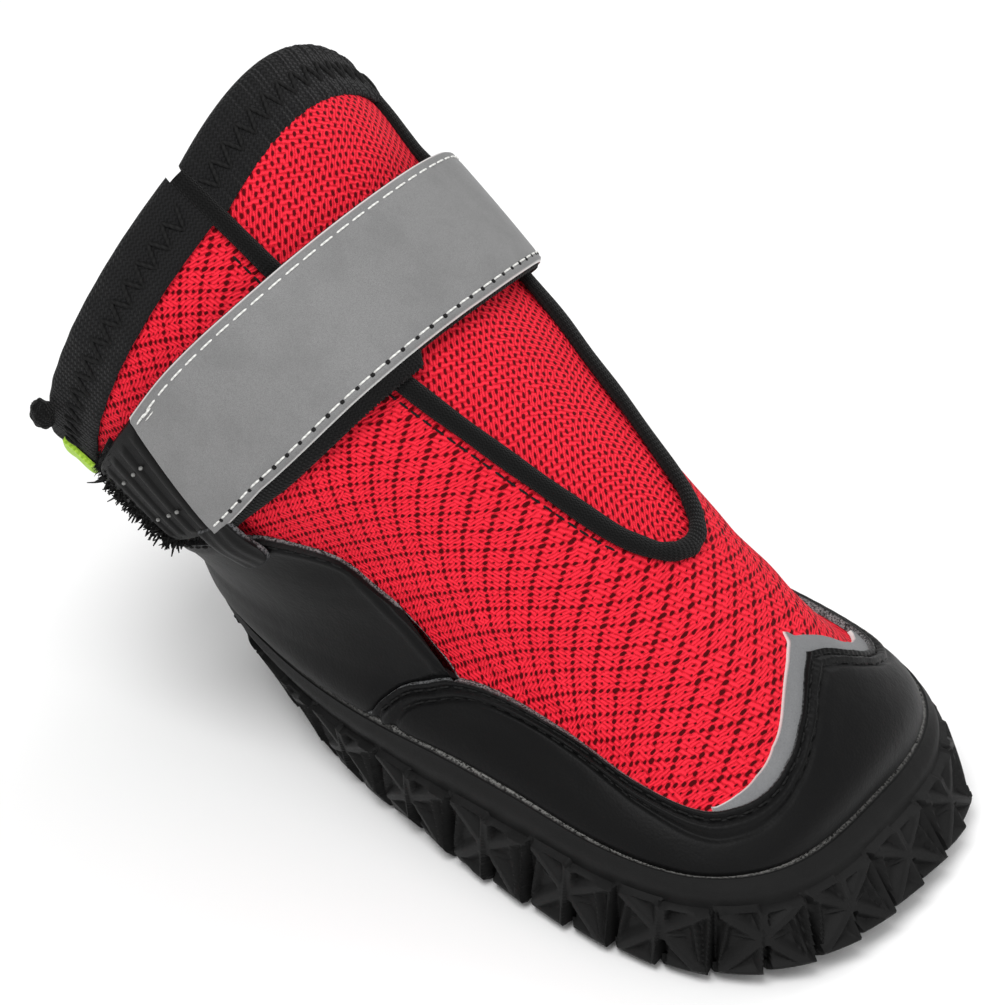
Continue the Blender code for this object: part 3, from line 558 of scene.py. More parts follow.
def finish_material(material, colour, height, strength, roughness=None):
    """Joins colour, a height in mm and roughness to the shader."""
    tree = material.node_tree
    relief = add(tree, "Bump", None, {"Height": height, "Distance": MM, "Strength": strength})
    for key, value in (("Base Color", colour), ("Roughness", roughness), ("Normal", relief)):
        if value is not None:
            tree.links.new(value.socket, tree.nodes["Principled BSDF"].inputs[key])
    return material


def lattice(weave, pitch_u, pitch_v, stagger=0.5):
    """Cells of a grid: the place in the cell from -0.5 to 0.5 both ways, and the cell's two numbers."""
    u, v = first_two(weave)
    a = u / pitch_u
    column = a.does("FLOOR")
    b = v / pitch_v + column.does("FLOORED_MODULO", 2.0) * stagger
    return a.does("FRACT") - 0.5, b.does("FRACT") - 0.5, column, b.does("FLOOR")


def every(number, period):
    """1 where a cell's number is a multiple of the period."""
    return number.does("FLOORED_MODULO", period).does("LESS_THAN", 0.5)


def air_mesh(name, lit_yarn, shade, hole, pitches, slants, hole_sizes, period, stagger):
    """Knitted mesh: slanting stitches, with holes where two of its stitch lines cross, painted dark as the
    shade inside them.

    The holes lie on every column and row whose number is a multiple of the period: with 1 they
    are everywhere, with 3 they frame solid blocks of stitches. Between them each strand is a
    ridge of plies, painted in a lit and a shaded red as painted highlight and shade on its plies,
    and darker toward the holes as painted shade, so the cloth looks grainy and bright with small deep holes."""
    material, place, weave = new_material(name, 0.75, 0.10)
    tree = place.tree
    wobble = add(tree, "TexNoise", None, {"Vector": place, "Scale": 0.7, "Detail": 2.0}, output=1)
    offset = vector_sum("SCALE", vector_sum("SUBTRACT", wobble, (0.5, 0.5, 0.5)), 0.45)
    # Slant of the columns and of the rows against the last's own lines
    u, v = first_two(vector_sum("ADD", weave, offset))
    across = u + v * slants[0]
    up = v + u * slants[1]
    cloth = add(tree, "CombineXYZ", None, {0: across, 1: up})
    fa, fb, column, row = lattice(cloth, *pitches, stagger)
    # Holes: rounded diamonds, drawn in at one end, painted dark with the hole colour as their shade
    far = fa.does("ABSOLUTE").does("POWER", HOLE_POWER) + fb.does("ABSOLUTE").does("POWER", HOLE_POWER)
    far = far.does("POWER", 0.62) + fa * fb * 0.7
    in_column = every(column, period)
    in_row = every(row, period)
    size = (in_column * hole_sizes[0]).does("MAXIMUM", in_row * hole_sizes[1])
    size = size.does("MAXIMUM", SMALLEST_HOLE) + in_column * in_row * hole_sizes[2]
    uneven = {"Value": noise(place, 1.1, 2.0), "To Min": -0.09, "To Max": 0.09}
    gone = far - (size + add(tree, "MapRange", None, uneven))
    cover = ramp(gone, -0.05, 0.07)
    # Plies: fine stitches that slant one way or the other in patches
    run_u = across * (FULL_TURN / PLY_PITCHES[0])
    run_v = up * (FULL_TURN / PLY_PITCHES[1])
    turn = ramp(noise(place, 0.35, 1.0), 0.47, 0.53)
    slanted = {0: turn, 2: (run_v + run_u).does("SINE"), 3: (run_v - run_u).does("SINE")}
    ply = add(tree, "Mix", None, slanted) * 0.5 + 0.5
    fuzz = noise(place, 4.5, 4.0, 0.7)
    # ridge: 0 at a hole's rim and 1 away from it; it raises the bump and darkens the tone toward the holes as
    # painted shade
    ridge = ramp(gone, 0.0, 0.28)
    height = cover * 0.26 + ridge * 0.14 + ply * cover * 0.12 + fuzz * 0.12
    # tone: the plies' stripes and fuzz, from the shaded colour to the lit one, are painted highlight and
    # shade on the plies over the cloth's own grain, darkened toward the holes as painted shade
    tone = (ply * 0.55 + fuzz * 0.80) * (ridge * 0.30 + 0.70)
    body = mix(ramp(tone, 0.16, 0.86), linear(shade), linear(lit_yarn))
    body = mix(ramp(noise(place, 0.12, 2.0), 0.35, 0.7) * 0.10, body, linear(shade))
    # Painted shade: the holes take the dark hole colour
    return finish_material(material, mix(cover, linear(hole), body), height, 0.75)


def leatherette(name, base="0E0E0E", worn="8E8F90"):
    """Coated cloth: fine pebbles and pores, a low gloss, and a raw edge rubbed pale in places."""
    material, place, _ = new_material(name, 0.5, 0.11)
    cells = {"Vector": place, "Scale": 2.4, "Smoothness": 0.6}
    pebble = add(place.tree, "TexVoronoi", {"feature": "SMOOTH_F1"}, cells)
    fine = noise(place, 7.0, 4.0)
    broad = noise(place, 0.10, 3.0)
    colour = mix(broad, linear("09090A"), linear(base))
    colour = mix(fine * 0.25, colour, linear("191919"))
    raw = ramp(carried(place, "edge"), 0.34, 0.10) * ramp(noise(place, 3.2, 5.0, 0.75), 0.40, 0.60)
    colour = mix(raw * 0.85, colour, linear(worn))
    height = pebble * 0.05 + fine * 0.035 + broad * 0.5
    return finish_material(material, colour, height, 0.5, fine * 0.22 + 0.36)


def rubber(name, base="161616", deep="0D0D0D"):
    """Moulded rubber: dull black, mould grain, a lighter grey in small random specks, and specked along the
    lip.
    """
    material, place, _ = new_material(name, 0.6, 0.17)
    fine = noise(place, 5.0, 5.0, 0.7)
    broad = noise(place, 0.25, 4.0)
    colour = mix(broad, linear(deep), linear(base))
    colour = mix(ramp(fine, 0.58, 0.80) * 0.3, colour, linear("302F2E"))
    speck = ramp(noise(place, 2.6, 5.0, 0.8), 0.42, 0.56)
    colour = mix(carried(place, "lip") * speck * 0.95, colour, linear("B0AFAC"))
    return finish_material(material, colour, fine * 0.10 + broad * 0.25, 0.6, fine * 0.25 + 0.46)


def knit(name, light, dark, pitch_u=0.85, pitch_v=0.62):
    """Ribbed knit or webbing: rows of small vees that give a soft matt black with a faint grain."""
    material, place, weave = new_material(name, 0.9, 0.12, sheen=0.06)
    fa, fb = lattice(weave, pitch_u, pitch_v)[:2]
    loop = ((fb + fa.does("ABSOLUTE") * 0.9) * FULL_TURN).does("COSINE")
    rib = (fa * FULL_TURN).does("COSINE")
    fuzz = noise(place, 7.0, 4.0, 0.7)
    colour = mix(ramp(loop * 0.2 + fuzz, 0.2, 0.85), linear(dark), linear(light))
    return finish_material(material, colour, loop * 0.07 + rib * 0.08 + fuzz * 0.14, 0.8)


def reflective(name, base, light, dark):
    """Reflective tape: a flat grey of minute beads, finely speckled, with soft streaks and a painted
    highlight along its edges.
    """
    material, place, _ = new_material(name, 0.55, 0.35)
    beads = noise(place, 9.0, 3.0, 0.8)
    grain = noise(place, 3.5, 4.0, 0.7)
    streak = noise(place, 0.15, 3.0)
    colour = mix(ramp(beads, 0.3, 0.7), linear(dark), linear(light))
    colour = mix(0.30, colour, linear(base))
    colour = mix(ramp(grain, 0.35, 0.7) * 0.25, colour, linear(light))
    colour = mix(ramp(streak, 0.4, 0.7) * 0.22, colour, linear(dark))
    # Painted highlight: a near-white line along the cut edges, broken up by the grain
    pale = ramp(carried(place, "edge"), 0.34, 0.06) * ramp(grain, 0.25, 0.4)
    colour = mix(pale * 0.8, colour, linear("F2F2F0"))
    return finish_material(material, colour, beads * 0.05 + streak * 0.3, 0.5)


def thread(name, light, dark, sheen=0.2):
    """Sewing thread: two plies wound round each other, so each stitch has slanting bands."""
    material, place, weave = new_material(name, 0.7, 0.15, sheen)
    run, turn = first_two(weave)
    ply = (run * 7.0 + turn * 9.0).does("SINE") * 0.5 + 0.5
    fuzz = noise(place, 9.0, 3.0)
    colour = mix(ply * fuzz, linear(light), linear(dark))
    return finish_material(material, colour, ply * 0.08 + fuzz * 0.05, 0.7)


def plain_cloth(name, light, dark, per_mm):
    """Woven ribbon or lining: a fine over-and-under grid, matt."""
    material, place, weave = new_material(name, 0.85, 0.25, sheen=0.2)
    a, b = ((part * (per_mm * FULL_TURN)).does("SINE") for part in first_two(weave))
    grid = a * b
    fuzz = noise(place, 5.0, 4.0)
    colour = mix(ramp(grid * 0.25 + fuzz, 0.2, 0.8), linear(dark), linear(light))
    return finish_material(material, colour, grid * 0.05 + fuzz * 0.10, 0.8)


# From the last's own place to the shared frame, read off the back of the CAD upper's collar
UPPER_LOW, UPPER_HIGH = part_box("upper")
COLLAR_BACK = last_point(180.0, QUARTER_RIM) * MM
SHIFT = np.array([UPPER_LOW[0] - COLLAR_BACK[0], (UPPER_LOW[1] + UPPER_HIGH[1]) / 2, 0.0])
# Each mesh: its lit colour and its shaded colour (painted highlight and shade of its plies), then the holes'
# colour (painted shade)
COARSE_MESH = air_mesh(
    "polyester_air_mesh_knitted", "FA2C40", "B00718", "4C0004",
    (0.90, 1.22), (0.63, 0.0), (0.29, 0.25, 0.06), 3.0, 0.0,
)
FINE_MESH = air_mesh(
    "polyester_fine_mesh_knitted", "FC2E42", "B4091A", "58020A",
    (1.10, 1.15), (0.10, 0.12), (0.25, 0.25, 0.0), 1.0, 0.5,
)
LEATHER = leatherette("polyurethane_leatherette_cut")
SOLE_RUBBER = rubber("rubber_moulded")
COLLAR_KNIT = knit("elastic_band_knitted", "222223", "131313")
BLACK_WEBBING = knit("polyester_webbing_woven", "191919", "080808", 0.6, 0.5)
BINDING_CORD = knit("polyester_binding_folded", "161616", "070707", 0.7, 0.45)
TAPE = reflective("glass_bead_tape_coated", "7A7A7A", "8E8E8E", "606060")
TRIM = reflective("glass_bead_strip_coated", "727374", "858687", "5B5C5F")
WHITE_THREAD = thread("nylon_thread_white_sewn", "F2F2EE", "A8A8A4")
BLACK_THREAD = thread("nylon_thread_black_sewn", "1B1B1B", "050505", 0.0)
GREY_THREAD = thread("nylon_thread_grey_sewn", "8C8C8A", "4E4E4C")
KEEPER_WEBBING = leatherette("polyester_webbing_coated", "0D0D0D", "77787A")
LIME = plain_cloth("polyester_ribbon_lime_woven", "C4F050", "94C22E", 1.3)
LINING = plain_cloth("polyester_lining_black_woven", "2A2A2A", "101010", 0.9)
FOAM = plain_cloth("foam_insole_black_faced", "303030", "141414", 0.7)
TIP_RUBBER = rubber("rubber_strap_end_moulded", "090909", "050505")


# Upper and tongue


def arc_map(around, along):
    """The weave map in mm: distance round the last from the front, and distance up it."""
    position = last_point(around, along)
    u = distances(position, 1)
    middle = np.argmin(np.abs(around), axis=1)
    return u - u[np.arange(len(u)), middle][:, None], distances(position, 0)


def build_upper():
    """Coarse mesh: the cloth's face on the last, and its back inside, joined at the collar and the U."""
    right = np.concatenate([np.linspace(0, ARM_END, 61), np.linspace(ARM_END, 180, 261)[1:]])
    around = np.concatenate([-right[:0:-1], right])
    side = np.abs(around)
    arm = smooth_rows(THROAT_ARM, np.linspace(0, len(THROAT_ARM) - 1, 600))
    top = np.where(side < ARM_END, np.interp(side, arm[:, 1], arm[:, 0]), QUARTER_RIM)
    rows = 138
    turned, along, share = patch(around, 0.0, top[None, :], rows)
    u, v = arc_map(turned, np.broadcast_to(share * QUARTER_RIM, along.shape))
    stretch = along / QUARTER_RIM * (rows - 1)
    row = np.clip(np.floor(stretch).astype(int), 0, rows - 2)
    part = stretch - row
    column = np.broadcast_to(np.arange(along.shape[1]), along.shape)
    weave_u, weave_v = (m[row, column] * (1 - part) + m[row + 1, column] * part for m in (u, v))
    # A cloth pulled over the last keeps its columns more even than the true distances are
    weave_u = 0.3 * weave_u + 0.7 * u[int(0.40 * rows)][None, :]
    # Over the vamp the cloth is stretched sideways, and its rows turn from there to the side
    run = np.linspace(-160, 160, 1601)
    wider = 0.62 + 0.38 * step_up(np.abs(run), 8, 40)
    turn = 0.95 * step_up(run, 8, 40) - 0.2
    middle = len(run) // 2
    pulled, slanted = (np.cumsum(rate) * (run[1] - run[0]) for rate in (wider, turn))
    weave_v = weave_v + np.interp(weave_u, run, slanted - slanted[middle])
    weave_u = np.interp(weave_u, run, pulled - pulled[middle])
    outer = skin(turned, along, 0.0)
    pick = np.unique(np.linspace(0, rows - 1, 14).astype(int))
    inner = on_last(turned[pick], along[pick], -UPPER_WALL)
    inner[0, :, 2] = outer[0, :, 2]
    points = np.concatenate([outer.reshape(-1, 3), inner.reshape(-1, 3)])
    weave = np.stack([weave_u, weave_v], -1)
    uv = np.concatenate([weave.reshape(-1, 2), weave[pick].reshape(-1, 2)])
    quads = two_layers(rows, along.shape[1], len(pick))
    make("upper_mesh", points, quads, COARSE_MESH, ("upper",), uv)


def build_tongue():
    """Finer mesh inside the U, a little lower than the quarters, domed between the binding's arms."""
    columns = 90
    arm = smooth_rows(THROAT_ARM, np.linspace(0.12, len(THROAT_ARM) - 1, 130))
    along = np.append(arm[:, 0], 1.0)[:, None]
    half = np.append(arm[:, 1], throat_angle(1.0))[:, None]
    half = np.maximum(half - around_of(0.4, half, along), 0.5)
    share = np.linspace(-1, 1, columns)[None, :]
    around = half * share
    along = np.broadcast_to(along, around.shape).copy()
    along[-1] = tongue_top(around[-1])
    along[-2] = np.minimum(along[-2], along[-1] - 0.004)
    dome = (0.35 + 0.9 * step_up(along, 0.86, 0.90)) * (1 - share**2)
    dome = dome * step_up(along, 0.49, 0.56) * (1 - step_up(along, 0.93, 1.0))
    outer = skin(around, along, -0.2 + dome)
    inner = on_last(around, along, -1.8)
    points = np.concatenate([outer.reshape(-1, 3), inner.reshape(-1, 3)])
    count = along.size
    rows = len(along)
    i = np.arange(rows - 1) * columns
    right = i + columns - 1
    quads = np.concatenate([
        two_layers(rows, columns, rows),
        np.stack([i, i + columns, count + i + columns, count + i], -1),
        np.stack([right + columns, right, count + right, count + right + columns], -1),
    ])
    weave = np.stack(arc_map(around, along), -1).reshape(-1, 2)
    uv = np.concatenate([weave, weave])
    make("tongue_mesh", points, quads, FINE_MESH, ("tongue",), uv)


def build_binding():
    """Folded binding: a soft round bead along the U, and a sewn fold line outside it."""
    arm = smooth_rows(THROAT_ARM, np.linspace(0, len(THROAT_ARM) - 1, 220))
    around = np.concatenate([-arm[:0:-1, 1], arm[:, 1]])
    along = np.concatenate([arm[:0:-1, 0], arm[:, 0]])
    travel = np.linspace(0, 1, len(along))
    width = 1.42 + 0.05 * np.sin(travel * 90) + 0.04 * np.sin(travel * 37 + 1)
    hidden = 0.45 * step_up(along, 0.86, 0.89) * (around < 0)
    lift = 0.75 + 0.05 * np.sin(travel * 60) - 0.4 * creases(around, along) - hidden
    centre = skin(around, along, lift)
    points, faces, uv = tubes([centre], [width], 28, 0.66, [normal_at(around, along)])
    make("throat_binding_fold", points, faces, BINDING_CORD, ("throat_binding",), uv)
    # Sewn fold line beside each arm: a thin dark welt on the mesh
    seam = arm[70:200]
    for sign, name in ((1, "right"), (-1, "left")):
        out = sign * (seam[:, 1] + around_of(2.35, seam[:, 1], seam[:, 0]))
        stitches = stitch_line(skin(out, seam[:, 0], 0.02), normal_at(out, seam[:, 0]), 1.5, 0.17, gap=0.5)
        threads(f"binding_stitches_{name}", *stitches, 6, BLACK_THREAD, "throat_binding")


# Collar


def band_profile(share, rim, start_at, end_at, name, slot):
    """Knitted band folded over the rim: a rounded section, thicker at the fold, ribbed along its edges."""
    section = np.array([
        (0.25, -8.0), (0.75, -8.25), (1.05, -7.9), (1.15, -7.2), (1.1, -6.2), (1.15, -5.0), (1.15, -3.8),
        (1.12, -2.6), (1.18, -1.5), (1.2, -0.5), (1.1, 0.35), (0.7, 0.95), (0.1, 1.2), (-0.8, 1.25),
        (-1.8, 1.15), (-2.7, 0.8), (-3.1, 0.1), (-3.2, -1.0), (-3.1, -2.6), (-3.15, -4.2), (-3.1, -6.0),
        (-3.1, -7.4), (-2.6, -7.9), (-2.2, -7.7), (-2.1, -4.0), (-2.1, -0.2), (-1.0, 0.3), (0.1, 0.25),
        (0.2, -4.0),
    ])
    count = 72
    closed = np.vstack([section, section[:1]])
    travel = distances(closed)
    where = np.linspace(0, travel[-1], count, endpoint=False)
    height = np.interp(where, travel, closed[:, 0])
    below = np.interp(where, travel, closed[:, 1])
    rings = []
    unit = along_of(1.0, start_at(rim) + (end_at(rim) - start_at(rim)) * share, rim)
    ripple = 0.10 * np.sin(share * 210) + 0.08 * np.sin(share * 83 + 2)
    for h, d in zip(height, below):
        along = rim + d * unit
        start = start_at(along)
        around = start + (end_at(along) - start) * share
        wave = ripple * (1 if h > 0 else 0.5) * (1 if d < -6.5 or d > -1.5 else 0.25)
        rings.append(on_last(around, along, h + wave))
    rings = np.stack(rings, 1)
    number, size = rings.shape[:2]
    quads = grid_quads(number, size, wrap=True)
    p = rings.reshape(-1, 3)
    middle = number // 2
    q = quads[middle * size + 5]
    faces = [tuple(x) for x in quads]
    faces.append(tuple(range(size))[::-1])
    faces.append(tuple((number - 1) * size + k for k in range(size)))
    if faces_inward(p, q, p[q[0]] - rings[middle].mean(0)):
        faces = [x[::-1] for x in faces]
    uv = np.stack(np.broadcast_arrays(distances(rings[:, 10])[:, None], where[None, :]), -1)
    make(name, p, faces, COLLAR_KNIT, (slot,), uv, smooth_angle=80)


def build_collar():
    def beside(along):
        angle = throat_angle(along)
        return around_of(1.25, angle, along)

    def quarter_start(along):
        return throat_angle(along) + beside(along)

    def quarter_end(along):
        return 360 - quarter_start(along)

    def tongue_end(along):
        return throat_angle(along) - beside(along)

    def tongue_start(along):
        return -tongue_end(along)

    share = np.linspace(0, 1, 420)
    rim = np.full(len(share), QUARTER_RIM)
    band_profile(share, rim, quarter_start, quarter_end, "collar_band_knit", "collar_band")
    share = np.linspace(0, 1, 140)
    rim = tongue_top(tongue_start(1.0) + (tongue_end(1.0) - tongue_start(1.0)) * share)
    band_profile(share, rim, tongue_start, tongue_end, "tongue_band_knit", "tongue_band")
    # Zigzag stitching: threads from side to side of the band
    dip = np.array([-0.22, 0.0, 0.08, 0.1, 0.08, 0.0, -0.22])
    size = 0.34 * np.array([0.6, 0.95, 1, 1, 1, 0.95, 0.6])
    for name, start_at, end_at, rim_of in (
        ("collar", quarter_start, quarter_end, lambda a: np.full(a.shape, QUARTER_RIM)),
        ("tongue", tongue_start, tongue_end, tongue_top),
    ):
        first = start_at(QUARTER_RIM)
        whole = end_at(QUARTER_RIM) - first
        fine = np.linspace(0.01, 0.99, 400)
        base = first + whole * fine
        run = distances(last_point(base, rim_of(base) - 0.03))
        count = int(run[-1] / 1.55)
        at = np.interp(np.arange(count + 1) * run[-1] / count, run, fine)
        paths = []
        ups = []
        for k in range(count):
            t = np.linspace(0, 1, 7)
            f = at[k] + (at[k + 1] - at[k]) * t
            depth = 2.3 + 3.3 * (t if k % 2 == 0 else 1 - t)
            rim = rim_of(first + whole * f)
            along = rim - depth * along_of(1.0, first + whole * f, rim)
            start = start_at(along)
            a = start + (end_at(along) - start) * f
            paths.append(on_last(a, along, 1.2 + dip))
            ups.append(normal_at(a, along))
        threads(f"{name}_zigzag_thread", paths, [size] * count, ups, 7, BLACK_THREAD, f"{name}_band")


# Leatherette, trim


def edge_stitches(name, around, edge, inset, height, slot):
    """A row of stitches a set distance inside a curved edge."""
    along = edge - along_of(inset, around, edge)
    stitches = stitch_line(skin(around, along, height), normal_at(around, along), 1.75, 0.19)
    threads(name, *stitches, 7, BLACK_THREAD, slot)


def behind_lip(around):
    """Lower edge of the leatherette, tucked a little behind the sole's lip."""
    lip = lip_top(around)
    return lip - along_of(BEHIND_LIP, around, lip)


def leather_piece(node, turned, along, height):
    name = node + "_leatherette"
    sheet_piece(name, turned, along, LEATHER_BACK, height, 0.5, LEATHER, (node,))


def build_toe_cap():
    """Leatherette guard: 1 mm proud, its edge rolled, pressed down along two rows of stitches."""
    around = np.linspace(-104, 104, 520)
    low = behind_lip(around)
    top = np.maximum(cap_top(around), low + along_of(1.5, around, low))
    turned, along, _ = patch(around, low, top, 72)
    unit = along_of(1.0, turned, along)
    to_edge = (top - along) / unit
    pressed = 0.42 * (bump(to_edge, CAP_ROWS[0], 0.40) + bump(to_edge, CAP_ROWS[1], 0.40))
    puff = 0.30 * bump(to_edge, 2.3, 0.5) + 0.12 * bump(to_edge, 5.2, 1.6)
    dimple = 0.05 * np.sin(turned * 3.4) * bump(to_edge, 1.3, 0.8)
    tuck = -1.0 * bump((along - low) / unit, 0.0, 0.9)
    height = LEATHER_FACE - pressed + puff + dimple + tuck
    leather_piece("toe_cap", turned, along, height)
    inner = around[12:-12]
    edge = np.maximum(cap_top(inner), behind_lip(inner) + along_of(1.5, inner, 0.1))
    for name, inset in zip(("outer", "inner"), CAP_ROWS):
        edge_stitches(f"toe_cap_stitches_{name}", inner, edge, inset, 0.92, "toe_cap")


def build_counter():
    """Leatherette heel counter: the same cloth, one stitch row, over the guard's tails."""
    half = np.linspace(78, 180, 200)
    around = np.concatenate([half, 360 - half[-2::-1]])
    side = fold(around)
    low = behind_lip(side)
    top = np.maximum(counter_top(side), low + along_of(1.0, side, low))
    turned, along, _ = patch(around, low, top, 72)
    unit = along_of(1.0, turned, along)
    to_end = np.minimum(around - half[0], 360 - half[0] - around) / around_of(1.0, side, 0.45)
    to_edge = np.minimum((top - along) / unit, to_end)
    height = LEATHER_FACE - 0.28 * bump(to_edge, COUNTER_ROW, 0.4) + 0.14 * bump(to_edge, 2.6, 0.7)
    folded = fold(turned)
    height = height - 0.45 * bump(along, 0.38, 0.05) * bump(folded, 150, 25)
    # Over the mudguard's tails it lies flat, with a soft step beside them
    cap = np.maximum(cap_top(folded), cap_top(-folded))
    covered = (1 - step_up((along - cap) / unit, -0.1, 0.55)) * (1 - step_up(folded, 103.5, 104.5))
    height = height - 1.0 * covered - 0.9 * bump((along - low) / unit, 0.0, 0.9)
    leather_piece("heel_counter", turned, along, height)
    t = half[6:-2]
    for sign, name in ((1, "right"), (-1, "left")):
        piece = f"heel_counter_stitches_{name}"
        edge_stitches(piece, sign * t, counter_top(t), COUNTER_ROW, 1.12, "heel_counter")


def build_trim():
    """Reflective strip above the guard's peak, with a small pointed tip and a painted highlight along its cut
    edge.
    """
    end = TRIM_EDGE[-1, 0]
    around = np.linspace(-end, end - CAP_TURN * math.cos(math.radians(end)), 260)
    low = cap_top(around) - along_of(0.5, around, cap_top(around))
    high = smooth_edge(TRIM_EDGE, cap_angle(around))
    high = high + 0.9 * bump(cap_angle(around), 0, 1.3) * along_of(1.0, around, high)
    high = np.maximum(high, low + along_of(0.3, around, low))
    turned, along, _ = patch(around, low, high, 14)
    sheet_piece("toe_trim_strip", turned, along, 0.05, 0.62, 0.2, TRIM, ("toe_trim",))


# Strap


def leaning(around, share):
    """Angles across the strap, which lean toward its slanted cut end."""
    return around - END_SLANT * np.clip((around - SLANT_START) / (STRAP_NEAR_END - SLANT_START), 0, 1) * share


def strap_form(around, along, height):
    """The strap bridges the creases, rises over the binding's arms and lies lower outside them."""
    over_bead = bump(fold(around), 35, 7) * 0.12 + bump(fold(around), 29, 6) * 0.08
    ease = -0.75 * step_up(fold(around), 48, 66)
    return on_last(around, along, height + over_bead + ease)


def build_strap():
    """Black webbing with the grey tape sewn on it, both 0.5 mm thick, edges slightly wavy."""
    around = np.linspace(STRAP_EDGES[0, 0], STRAP_NEAR_END, 420)
    _, along, share = patch(around, strap_low(around), strap_high(around), 40)
    turned = leaning(around, share)
    across = share * TAPE_WIDTH
    pressed = 0.12 * (bump(across, 1.25, 0.35) + bump(across, TAPE_WIDTH - 1.25, 0.35))
    height = STRAP_SEAT + 1.45 - pressed + 0.04 * np.sin(turned * 0.35) + 0.05 * np.sin(share * math.pi)
    back = STRAP_SEAT + 0.85
    sheet_piece("strap_tape", turned, along, back, height, 0.3, TAPE, ("strap",), strap_form)
    # Webbing below, showing as a dark band under the tape, frayed where it ends at the front; further round,
    # a 0.35 mm strip of it along the tape's lower edge is a painted shadow
    front = np.linspace(STRAP_EDGES[0, 0], STRAP_NEAR_END + 0.3, 420)
    # shows: how far the webbing reaches out below the tape, about 2 mm where it shows and 0.35 mm elsewhere
    # as that painted shadow line
    shows = 0.35 + 1.9 * step_up(front, 22, 25) * (1 - 0.5 * step_up(front, 70, 90))
    fray = 0.16 * np.sin(front * 7.0) * step_up(front, 22, 25) * (1 - step_up(front, 46, 50))
    low = strap_low(front) - along_of(shows + fray, front, strap_low(front))
    high = strap_high(front) + along_of(0.15, front, strap_high(front))
    along = patch(front, low, high, 40)[1]
    sheet_piece(
        "strap_webbing", leaning(front, share), along, STRAP_SEAT + 0.05, STRAP_SEAT + 0.75, 0.25,
        BLACK_WEBBING, ("strap_backing",), strap_form,
    )
    # White thread rows, needle holes on the lower one
    line = np.linspace(-112, STRAP_NEAR_END - 1.5, 400)
    for name, edge, sign, share_up, length in (
        ("lower", strap_low(line), 1, 0.07, 2.15), ("upper", strap_high(line), -1, 0.93, 2.55)
    ):
        along = edge + sign * along_of(1.35, line, edge)
        lean = leaning(line, share_up)
        centre = strap_form(lean, along, STRAP_SEAT + 1.36)
        up = normal_at(lean, along)
        paths, radii, ups = stitch_line(centre, up, length, 0.15)
        threads(f"strap_stitches_{name}", paths, radii, ups, 7, WHITE_THREAD, "strap")
        if name == "lower":
            needle_holes(centre, up, paths)
    # Bar tack at the tape's near end
    paths = []
    radii = []
    ups = []
    for share_up, weight in ((0.08, 1.0), (0.1075, 0.5)):
        a = np.linspace(STRAP_NEAR_END - END_SLANT - 8.0, STRAP_NEAR_END - END_SLANT - 4.5, 6)
        along = strap_low(a) + (strap_high(a) - strap_low(a)) * (1 - share_up)
        paths.append(strap_form(a, along, STRAP_SEAT + 1.5))
        radii.append(np.array([0.1, 0.16, 0.17, 0.17, 0.16, 0.1]) * weight)
        ups.append(normal_at(a, along))
    threads("strap_bar_tack", paths, radii, ups, 6, WHITE_THREAD, "strap")


def needle_holes(centre, up, stitches):
    """Small dark pits between the stitches of a row."""
    travel = distances(centre)
    count = len(stitches)
    spots = []
    tops = []
    for k in range(1, count):
        s = k * travel[-1] / count
        n = at_distance(s, travel, up)
        run = stitches[k - 1][5] - stitches[k - 1][2]
        run = run / np.linalg.norm(run)
        lead = run[None] * np.array([[-0.34], [-0.2], [0.2], [0.34]])
        spots.append(at_distance(s, travel, centre) - n * 0.02 + np.cross(n, run)[None] * 0.14 + lead)
        tops.append(np.repeat(n[None], 4, axis=0))
    sizes = [np.array([0.16, 0.33, 0.33, 0.16])] * len(spots)
    threads("strap_needle_holes", spots, sizes, tops, 8, BLACK_THREAD, "strap", squash=0.5)


def build_tip():
    """Moulded end of the strap: ribs beside the tape and rounded corners."""
    around = np.linspace(STRAP_NEAR_END + 0.5, TIP_END, 130)
    low = float(strap_low(np.float64(STRAP_NEAR_END)))
    high = float(strap_high(np.float64(STRAP_NEAR_END)))
    travel = (around - around[0]) / (around[-1] - around[0])
    rounding = 1 - np.sqrt(np.clip(1 - np.clip((travel - 0.70) / 0.30, 0, 1) ** 2, 0, 1))
    corner = (high - low) * 0.22 * rounding
    _, along, share = patch(around, low + corner, high - corner, 60)
    turned = around - END_SLANT * (1 - travel) * share
    ribs = np.clip(np.sin(travel * 5.0 * FULL_TURN - 0.6), 0, 1) ** 0.6 * (1 - step_up(travel, 0.76, 0.82))
    inside = step_up(share, 0.05, 0.12) * (1 - step_up(share, 0.88, 0.95))
    height = STRAP_SEAT + 0.75 + 0.38 * ribs * inside
    sheet_piece(
        "strap_tip_moulded", turned, along, STRAP_SEAT - 0.1, height, 0.45, TIP_RUBBER,
        ("strap_tip",), strap_form,
    )
    # Grey thread: two short rows across the ribs, with a stitch on each rib
    rows = []
    tops = []
    for share_up in (0.30, 0.72):
        for where in (0.20, 0.34, 0.56):
            a = around[0] + (around[-1] - around[0]) * (where + np.linspace(-0.022, 0.022, 6))
            a = a - END_SLANT * (1 - where) * share_up
            line_along = np.full(6, low + (high - low) * (share_up + 0.03 * where))
            rows.append(strap_form(a, line_along, STRAP_SEAT + 1.12))
            tops.append(normal_at(a, line_along))
    sizes = [np.array([0.10, 0.26, 0.30, 0.30, 0.26, 0.10])] * len(rows)
    threads("strap_tip_stitches", rows, sizes, tops, 6, GREY_THREAD, "strap_tip")


